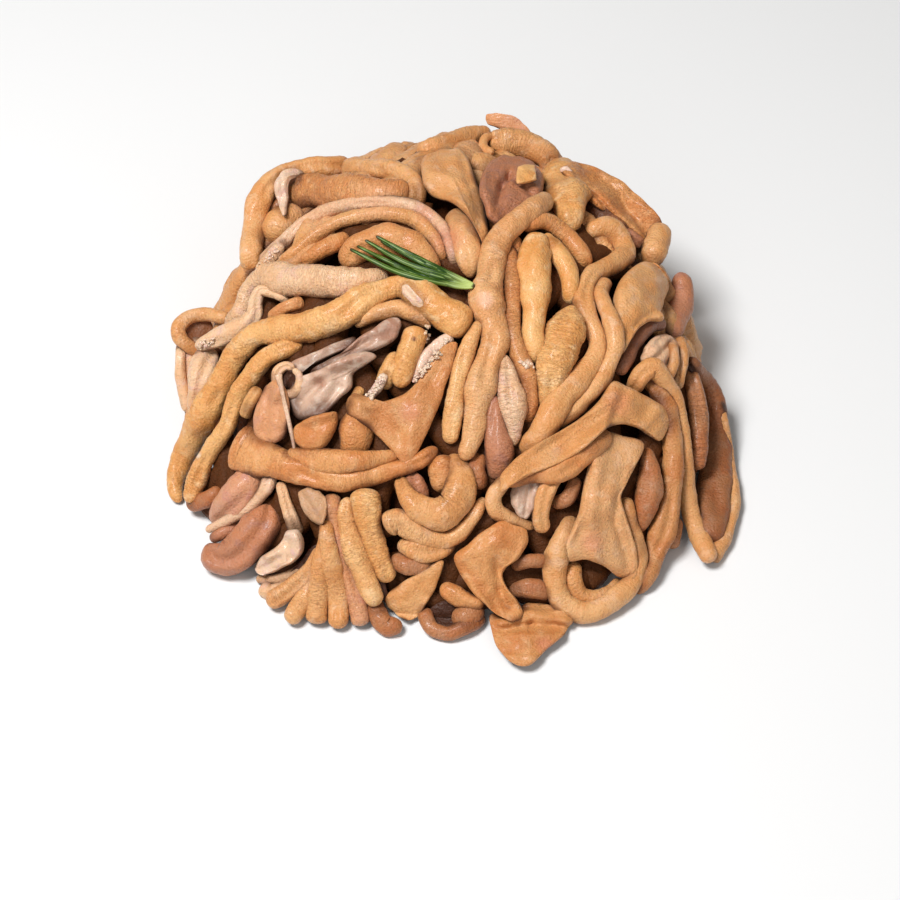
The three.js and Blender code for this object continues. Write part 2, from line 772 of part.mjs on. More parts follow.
// Closed tube round the samples' centers: a ball drawn out along the route
function drawnOutBall(samples, sides, ringStep) {
  const centers = new THREE.CatmullRomCurve3(samples.map((sample) => sample.center));
  const length = centers.getLength();
  const half = samples[Math.floor(samples.length / 2)].thick / 2;
  const legs = Math.max((length - 2 * half) / ringStep, totalTurn(samples) / RING_TURN);
  const rings = Math.max(1, Math.round(legs)) + 2;
  const ball = new THREE.SphereGeometry(1, sides, rings);
  ball.deleteAttribute('normal');
  ball.deleteAttribute('uv');
  const closed = mergeVertices(ball, WELD);
  const position = closed.getAttribute('position');
  const lastSample = samples.length - 1;
  const frames = [];
  let upward = samples[0].outward.clone();
  for (let ring = 0; ring <= rings; ring += 1) {
    const isTip = ring === 0 || ring === rings;
    const share = THREE.MathUtils.clamp((ring - 1) / (rings - 2), 0, 1);
    const inset = isTip ? 0 : END_REACH * half;
    const swell = isTip ? 0 : 1;
    const u = (inset + share * (length - 2 * inset)) / length;
    const center = centers.getPointAt(u);
    const tangent = centers.getTangentAt(u);
    const before = centers.getTangentAt(Math.max(u - BEND_SPAN, 0));
    const after = centers.getTangentAt(Math.min(u + BEND_SPAN, 1));
    const bend = after.sub(before).divideScalar(length * 2 * BEND_SPAN);
    const place = centers.getUtoTmapping(u) * lastSample;
    const low = samples[Math.floor(place)];
    const high = samples[Math.min(Math.floor(place) + 1, lastSample)];
    const mix = place - Math.floor(place);
    const outward = low.outward.clone().lerp(high.outward, mix);
    const flat = outward.addScaledVector(tangent, -outward.dot(tangent));
    if (flat.length() > LEAST_FLAT) {
      upward = flat.normalize();
    } else {
      upward = upward.addScaledVector(tangent, -upward.dot(tangent)).normalize();
    }
    const sideways = new THREE.Vector3().crossVectors(tangent, upward).normalize();
    const width = swell * FACET_SWELL * THREE.MathUtils.lerp(low.width, high.width, mix);
    const thick = swell * FACET_SWELL * THREE.MathUtils.lerp(low.thick, high.thick, mix);
    frames.push({ center, bend, upward: upward.clone(), sideways, width, thick });
  }
  for (let i = 0; i < position.count; i += 1) {
    const spot = new THREE.Vector3().fromBufferAttribute(position, i);
    const turn = Math.acos(THREE.MathUtils.clamp(spot.y, -1, 1)) / Math.PI;
    const frame = frames[Math.round(turn * rings)];
    const around = Math.atan2(spot.z, spot.x) + Math.PI / sides;
    const offset = frame.sideways.clone().multiplyScalar(0.5 * frame.width * Math.cos(around));
    offset.addScaledVector(frame.upward, -0.5 * frame.thick * Math.sin(around));
    const tight = offset.dot(frame.bend);
    if (tight > MOST_BEND) {
      offset.multiplyScalar(MOST_BEND / tight);
    }
    offset.add(frame.center);
    position.setXYZ(i, offset.x, offset.y, offset.z);
  }
  return closed;
}

// Mound as a drawn-in ball, with its lower half pressed flat under the ground
function coreGeometry() {
  const ball = new THREE.SphereGeometry(1, CORE_SECTORS, CORE_BANDS);
  ball.deleteAttribute('normal');
  ball.deleteAttribute('uv');
  const closed = mergeVertices(ball, WELD);
  closed.rotateX(Math.PI / 2);
  const position = closed.getAttribute('position');
  for (let i = 0; i < position.count; i += 1) {
    const spot = new THREE.Vector3().fromBufferAttribute(position, i);
    const angle = Math.atan2(spot.y, spot.x);
    const slope = Math.acos(THREE.MathUtils.clamp(Math.abs(spot.z), 0, 1));
    const place = corePoint(angle, slope);
    if (spot.z < 0) {
      place.y = planRadius(angle) * Math.sin(slope) * Math.sin(angle);
      place.z = CORE_DEPTH_BELOW * spot.z;
    }
    position.setXYZ(i, place.x, place.y, place.z);
  }
  return closed;
}

const wasm = await Module();
wasm.setup();

// Closed geometry with shared vertices to a solid that can be joined and cut
function toSolid(geometry) {
  const mesh = new wasm.Mesh({
    numProp: 3,
    vertProperties: new Float32Array(geometry.getAttribute('position').array),
    triVerts: new Uint32Array(geometry.getIndex().array),
  });
  return new wasm.Manifold(mesh);
}

// Solid back to a geometry with flat facets
function toGeometry(solid) {
  const mesh = solid.getMesh();
  const geometry = new THREE.BufferGeometry();
  const positions = new Float32Array(mesh.vertProperties);
  geometry.setAttribute('position', new THREE.BufferAttribute(positions, 3));
  geometry.setIndex(new THREE.BufferAttribute(new Uint32Array(mesh.triVerts), 1));
  geometry.computeVertexNormals();
  return geometry;
}

// Largest closed body of a solid: sealed hollows are filled and loose scraps are dropped
function largestBody(solid) {
  let largest = null;
  for (const body of solid.decompose()) {
    if (!largest || body.volume() > largest.volume()) {
      largest = body;
    }
  }
  return largest;
}

// Angle round the mound that lies a number of millimetres aside of another, at a slope
function angleAside(angle, slope, aside) {
  const reach = CORE_RADIUS * Math.sin(THREE.MathUtils.degToRad(slope)) ** (2 / PLAN_ROUNDNESS);
  return angle + THREE.MathUtils.radToDeg(aside / reach);
}

// Width of a strand on the far side
function backWidth() {
  return BACK_LOOP_WIDTH * (BACK_WIDTH_LEAST + BACK_WIDTH_SPREAD * draw());
}

// Route of a loop that hangs down to the ground, round the angle of its middle
function backLoop(middle, stagger) {
  const width = backWidth();
  const half = BACK_LOOP_LEG * width;
  const sway = width * (draw() - 0.5);
  const foot = BACK_LOOP_FOOT - BACK_LOOP_FOOT_SPREAD * draw();
  const ankle = foot - BACK_LOOP_FOOT_RISE;
  const top = BACK_LOOP_TOP + BACK_LOOP_TOP_STAGGER * stagger + BACK_TOP_SPREAD * draw();
  const waist = 0.5 * (top + foot);
  const belly = BACK_LOOP_BELLY * half;
  return [
    [angleAside(middle, top, sway - half), top, width],
    [angleAside(middle, waist, -belly), waist, width],
    [angleAside(middle, ankle, -half), ankle, width],
    [middle, foot, width],
    [angleAside(middle, ankle, half), ankle, width],
    [angleAside(middle, waist, belly), waist, width],
    [angleAside(middle, top, sway + half), top, width],
  ];
}

// Routes of the hanging loops and of the arcs that cross them, round the far side
function backRoutes() {
  const routes = [];
  const turn = (BACK_LAST_ANGLE - BACK_FIRST_ANGLE) / (BACK_LOOPS - 1);
  for (let loop = 0; loop < BACK_LOOPS; loop += 1) {
    const middle = BACK_FIRST_ANGLE + turn * (loop + BACK_LOOP_SHIFT * (draw() - 0.5));
    routes.push(backLoop(middle, loop % 2));
  }
  for (let arc = 0; arc < BACK_ARCS; arc += 1) {
    const start = BACK_ARC_START + arc * BACK_ARC_TURN + BACK_ARC_TURN_SPREAD * draw();
    const slope = BACK_ARC_SLOPE + BACK_ARC_STAGGER * (arc % 2) + BACK_ARC_SPREAD * draw();
    const width = backWidth();
    routes.push(BACK_ARC_SHAPE.map(([ahead, lower]) => [start + ahead, slope + lower, width]));
  }
  return routes;
}

// The whole heap: core and strands fused, cut flat underneath
function buildHeap(laid) {
  let heap = toSolid(coreGeometry());
  const parts = [];
  for (const route of backRoutes()) {
    parts.push({ samples: moundSamples(route, THICKNESS_LIMIT), squeeze: BACK_SQUEEZE });
  }
  for (const strand of STRANDS) {
    const samples = viewSamples(strand.route, strand.thickness ?? THICKNESS_LIMIT);
    parts.push({ samples, squeeze: SQUEEZE });
  }
  for (const { samples, squeeze } of parts) {
    seatSamples(samples, laid, squeeze);
    for (const sample of samples) {
      laid.push(sample);
    }
    const middleWidth = samples[Math.floor(samples.length / 2)].width;
    const sides = middleWidth > WIDE_STRAND ? WIDE_SIDES : NARROW_SIDES;
    heap = heap.add(toSolid(drawnOutBall(samples, sides, RING_STEP)));
  }
  const ground = new THREE.BoxGeometry(GROUND_SIZE, GROUND_SIZE, GROUND_DEPTH);
  ground.deleteAttribute('normal');
  ground.deleteAttribute('uv');
  ground.translate(0, 0, -GROUND_DEPTH / 2);
  return largestBody(heap.subtract(toSolid(mergeVertices(ground, WELD))));
}

// The sprig: thin needles that meet at a short stem, clear of the heap
function buildSprig(laid) {
  let sprig = null;
  for (const needle of NEEDLES) {
    const [tip, middle, foot] = needle;
    const route = [
      [...tip, NEEDLE_WIDTH * NEEDLE_TIP],
      [...middle, NEEDLE_WIDTH],
      [...foot, NEEDLE_WIDTH],
      [...SPRIG_FOOT, NEEDLE_WIDTH * NEEDLE_FOOT],
    ];
    const samples = viewSamples(route, NEEDLE_THICKNESS);
    seatSamples(samples, laid, SPRIG_CLEARANCE);
    for (const sample of samples) {
      sample.center.addScaledVector(sample.outward, SPRIG_LIFT);
    }
    const solid = toSolid(drawnOutBall(samples, NEEDLE_SIDES, NEEDLE_RING_STEP));
    sprig = sprig ? sprig.add(solid) : solid;
  }
  return largestBody(sprig);
}

const laidSamples = [];
const heapSolid = buildHeap(laidSamples);
const sprigSolid = buildSprig(laidSamples);

const part = new THREE.Group();

const heapMesh = new THREE.Mesh(
  toGeometry(heapSolid),
  new THREE.MeshStandardMaterial({ color: SKIN_COLOR, roughness: SKIN_ROUGHNESS }),
);
heapMesh.name = 'intestine_heap';
part.add(heapMesh);

const sprigMesh = new THREE.Mesh(
  toGeometry(sprigSolid),
  new THREE.MeshStandardMaterial({ color: SPRIG_COLOR, roughness: SPRIG_ROUGHNESS }),
);
sprigMesh.name = 'rosemary_sprig';
part.add(sprigMesh);

export default part;
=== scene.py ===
"""Cooked chicken intestine, heaped in loose loops, with a small rosemary sprig lying on top.

Sizes are in millimetres unless a name says otherwise, +Z is up, and the origin is the middle of the flat
underside on which the heap lies. Finished meshes are in metres.
"""

import logging
import math
import random
from dataclasses import dataclass, field, replace
from enum import Enum
from functools import cached_property
from typing import Any, Sequence

import bmesh
import bpy
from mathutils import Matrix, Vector, noise
from mathutils.kdtree import KDTree


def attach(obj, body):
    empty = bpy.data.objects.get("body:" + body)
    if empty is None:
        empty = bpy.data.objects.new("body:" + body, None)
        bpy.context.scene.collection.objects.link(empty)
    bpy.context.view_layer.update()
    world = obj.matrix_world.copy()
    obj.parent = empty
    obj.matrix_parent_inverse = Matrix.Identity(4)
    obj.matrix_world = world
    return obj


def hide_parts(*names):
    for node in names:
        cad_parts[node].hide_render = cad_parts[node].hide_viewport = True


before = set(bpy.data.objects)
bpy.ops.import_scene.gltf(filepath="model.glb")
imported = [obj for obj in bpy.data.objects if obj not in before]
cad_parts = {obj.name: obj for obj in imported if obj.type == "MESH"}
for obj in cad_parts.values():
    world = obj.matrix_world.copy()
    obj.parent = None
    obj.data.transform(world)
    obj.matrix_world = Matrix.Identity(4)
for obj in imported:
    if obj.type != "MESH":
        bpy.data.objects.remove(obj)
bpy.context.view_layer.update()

LOG = logging.getLogger("chicken_intestine")
METRES = 0.001
HEAP_NODE = "intestine_heap"
HEAP_SLOT = "intestine"
SPRIG_NODE = "rosemary_sprig"
SPRIG_SLOT = "rosemary"
BODY = "root"

SRGB_MOST = 255
SRGB_TOE = 0.04045
SRGB_TOE_SLOPE = 12.92
SRGB_OFFSET = 0.055
SRGB_POWER = 2.4

Colour = tuple[float, float, float]
Triple = tuple[float, float, float]
Spot = tuple[float, float, float]
Place = tuple[float, float]
Range = tuple[float, float]
Pair = tuple[float, float]


def srgb(red: int, green: int, blue: int) -> Colour:
    """Turn a screen colour into the linear colour that a shader takes.

    Args:
        red: Red from 0 to 255.
        green: Green from 0 to 255.
        blue: Blue from 0 to 255.

    Returns:
        The linear colour.
    """

    def linear(level: int) -> float:
        """Linear level of one channel."""
        share = level / SRGB_MOST
        if share <= SRGB_TOE:
            return share / SRGB_TOE_SLOPE
        return ((share + SRGB_OFFSET) / (1 + SRGB_OFFSET)) ** SRGB_POWER

    return linear(red), linear(green), linear(blue)


def spline(values: Sequence[Any], place: float) -> Any:
    """Smooth value through control values, which are numbers or vectors, by Catmull and Rom's rule.

    Args:
        values: The control values, at least two.
        place: Place along them, from 0 to the last index.

    Returns:
        The value at that place.
    """
    last = len(values) - 1
    index = min(int(place), last - 1)
    t = place - index
    p1 = values[index]
    p2 = values[index + 1]
    p0 = values[index - 1] if index > 0 else 2 * p1 - p2
    p3 = values[index + 2] if index + 2 <= last else 2 * p2 - p1
    b = p2 - p0
    c = 2 * p0 - 5 * p1 + 4 * p2 - p3
    d = 3 * p1 - p0 - 3 * p2 + p3
    return (2 * p1 + b * t + c * (t * t) + d * (t * t * t)) * 0.5


def spline_point(route: Sequence[Spot], place: float) -> list[float]:
    """Smooth point through a route's points, at a place from 0 to the last index."""
    return [spline([point[column] for point in route], place) for column in range(3)]


def clamp(value: float, low: float, high: float) -> float:
    """Value held between two limits."""
    return max(low, min(high, value))


def evened(values: list[float], passes: int) -> list[float]:
    """Even out a row of values.

    Args:
        values: The values.
        passes: How often each is mixed with its two neighbours.

    Returns:
        The evened values.
    """
    for _ in range(passes):
        before = values[:1] + values[:-1]
        after = values[1:] + values[-1:]
        values = [(low + 2 * value + high) / 4 for low, value, high in zip(before, values, after)]
    return values


@dataclass(frozen=True)
class View:
    """Viewing position from which the strands' routes are laid out.

    A route point is (across, down, width): the first two are where the strand's middle line appears in a
    square view that is size units on a side, and the width is in millimetres.
    """

    size: float = 900.0
    focal: float = 2400.0
    distance: float = 860.4
    elevation: float = math.radians(51.13)
    aim: Triple = (0.0, -11.6, 0.0)
    sensor_mm: float = 36.0

    @cached_property
    def forward(self) -> Vector:
        """Direction in which the eye looks."""
        return Vector((0, math.cos(self.elevation), -math.sin(self.elevation)))

    @cached_property
    def up(self) -> Vector:
        """Direction that is upward in the view."""
        return Vector((0, math.sin(self.elevation), math.cos(self.elevation)))

    @cached_property
    def eye(self) -> Vector:
        """Place of the eye."""
        return Vector(self.aim) - self.forward * self.distance

    @cached_property
    def unit(self) -> float:
        """Millimetres at the aim that one unit of the view stands for."""
        return self.distance / self.focal

    @property
    def lens_mm(self) -> float:
        """Focal length of a camera that sees the same view."""
        return self.focal / self.size * self.sensor_mm

    def sight_line(self, across: float, down: float) -> Vector:
        """Direction of the line of sight through a place in the view.

        Args:
            across: How far the place lies from the view's left side.
            down: How far it lies below the view's top.

        Returns:
            The direction, away from the eye.
        """
        right = Vector((1, 0, 0)) * ((across - self.size / 2) / self.focal)
        line = self.forward + right + self.up * ((self.size / 2 - down) / self.focal)
        return line.normalized()

    def seen_at(self, point: Vector) -> Place:
        """Place in the view where a point appears.

        Args:
            point: The point.

        Returns:
            The place as (across, down).
        """
        away = point - self.eye
        depth = away.dot(self.forward)
        half = self.size / 2
        return half + self.focal * away.x / depth, half - self.focal * away.dot(self.up) / depth


@dataclass(frozen=True)
class Mound:
    """The low mound on which the strands lie: steep at the far side and long towards the near one."""

    height: float = 70.0
    radius: float = 91.0
    lean: float = 43.0
    plan_roundness: float = 2.3
    dome_roundness: float = 1.8
    plan_shift: float = 2.0
    plan_stretch: float = 2.0
    plan_lobes: float = 5.0
    sight_top: float = 130.0
    sight_step: float = 1.0
    normal_step: float = 0.5
    least_curve: float = 1e-9

    def plan_radius(self, angle: float) -> float:
        """Radius of the foot: a little uneven, as a heap is.

        Args:
            angle: Angle round the mound from +X, in radians.

        Returns:
            The radius.
        """
        shift = self.plan_shift * math.sin(angle)
        stretch = self.plan_stretch * math.cos(2 * angle)
        return self.radius - shift + stretch - self.plan_lobes * math.sin(3 * angle)

    def point(self, angle: float, slope: float) -> Vector:
        """Point of the surface.

        Args:
            angle: Angle round the mound from +X, in radians.
            slope: From 0 at the top to a quarter turn at the foot.

        Returns:
            The point.
        """
        reach = self.plan_radius(angle) * max(math.sin(slope), 0) ** (2 / self.plan_roundness)
        rise = max(math.cos(slope), 0) ** (2 / self.dome_roundness)
        return Vector(
            (reach * math.cos(angle), reach * math.sin(angle) + self.lean * rise, self.height * rise)
        )

    def level(self, point: Vector) -> float:
        """Level of a point: below 1 inside the mound, above 1 outside.

        Args:
            point: The point.

        Returns:
            The level.
        """
        rise = max(point.z, 0) / self.height
        y = point.y - self.lean * rise
        reach = math.hypot(point.x, y) / self.plan_radius(math.atan2(y, point.x))
        return reach**self.plan_roundness + rise**self.dome_roundness

    def normal(self, point: Vector) -> Vector:
        """Outward direction of the surface.

        Args:
            point: Point at or near the surface.

        Returns:
            The direction.
        """
        step = self.normal_step
        slope = [
            self.level(point + axis * step) - self.level(point - axis * step)
            for axis in (Vector((1, 0, 0)), Vector((0, 1, 0)), Vector((0, 0, 1)))
        ]
        return Vector(slope).normalized()

    def sight_hit(self, view: View, line: Vector, ground_gap: float, refinements: int = 0) -> Vector:
        """Where a sight line first meets the mound, or passes nearest to it above the ground.

        Args:
            view: The viewing position.
            line: Direction of the sight line.
            ground_gap: Lowest height that the found point may have.
            refinements: How often the last step before a hit is halved.

        Returns:
            The point.
        """
        reach = (view.eye.z - self.sight_top) / -line.z
        end = (view.eye.z - ground_gap) / -line.z
        best = end
        best_level = math.inf
        while reach <= end:
            level = self.level(view.eye + line * reach)
            if level < best_level:
                best_level = level
                best = reach
            if level <= 1:
                low = reach - self.sight_step
                for _ in range(refinements):
                    middle = (low + best) / 2
                    if self.level(view.eye + line * middle) <= 1:
                        best = middle
                    else:
                        low = middle
                break
            reach += self.sight_step
        else:
            if refinements:
                steps = (-self.sight_step, self.sight_step)
                near, far = (self.level(view.eye + line * (best + step)) for step in steps)
                curve = max(near + far - 2 * best_level, self.least_curve)
                best += clamp((near - far) / (2 * curve), -0.5, 0.5)
        return view.eye + line * best


VIEW = View()
MOUND = Mound()


class Form(Enum):
    """Cross-section of a strand."""

    ROLL = "roll"
    FOLD = "fold"
    LEAF = "leaf"


class Skin(Enum):
    """Kind of surface that a strand has."""

    TAN = "tan"
    ORANGE = "orange"
    YELLOW = "yellow"
    PALE = "pale"
    PINK = "pink"
    MAUVE = "mauve"
    # Brown gut, mostly laid low in hollows and under other strands; its darker colour is partly painted
    # shade.
    BROWN = "brown"
    MEMBRANE = "membrane"
    FAT = "fat"


@dataclass(frozen=True)
class Strand:
    """One length of gut that shows, with its route from end to end."""

    name: str
    skin: Skin
    route: tuple[Spot, ...]
    thickness: float = 10.5
    form: Form = Form.ROLL
    crease: float = 0.5
    open_ends: str = ""
    # Painted shade: how much darker the strand is painted where shade falls on it.
    depth: float = 0.0


@dataclass(frozen=True)
class Groove:
    """A soft groove along a line in the view, or a ridge if its depth is negative."""

    start: Place
    end: Place
    width: float
    depth: float

    def depth_at(self, across: float, down: float) -> float:
        """Depth at a place in the view.

        Args:
            across: How far the place lies from the view's left side.
            down: How far it lies below the view's top.

        Returns:
            The depth in millimetres.
        """
        run = (self.end[0] - self.start[0], self.end[1] - self.start[1])
        away = (across - self.start[0], down - self.start[1])
        share = clamp((run[0] * away[0] + run[1] * away[1]) / (run[0] ** 2 + run[1] ** 2), 0, 1)
        gap = math.hypot(away[0] - run[0] * share, away[1] - run[1] * share)
        return self.depth * math.exp(-((gap / self.width) ** 2))


@dataclass(frozen=True)
class Flap:
    """A sheet of gut that lies over what is below it, with its outline in the view."""

    name: str
    skin: Skin
    middle: Place
    outline: tuple[Place, ...]
    thickness: float = 4.5
    crease: float = 0.4
    rim: float = 0.1
    boxiness: float = 4.0
    # Painted shade: how much darker the flap is painted where shade falls on it.
    depth: float = 0.0
    squeeze: float = 0.6
    grooves: tuple[Groove, ...] = ()

    def edge(self, place: float) -> Place:
        """Point of the outline.

        Args:
            place: From 0 at its first point, and up by one from point to point.

        Returns:
            The point's place in the view.
        """
        count = len(self.outline)
        index = int(place)
        window = [self.outline[(index + k - 1) % count] for k in range(4)]
        x, y = (spline([point[column] for point in window], 1 + place - index) for column in range(2))
        return x, y


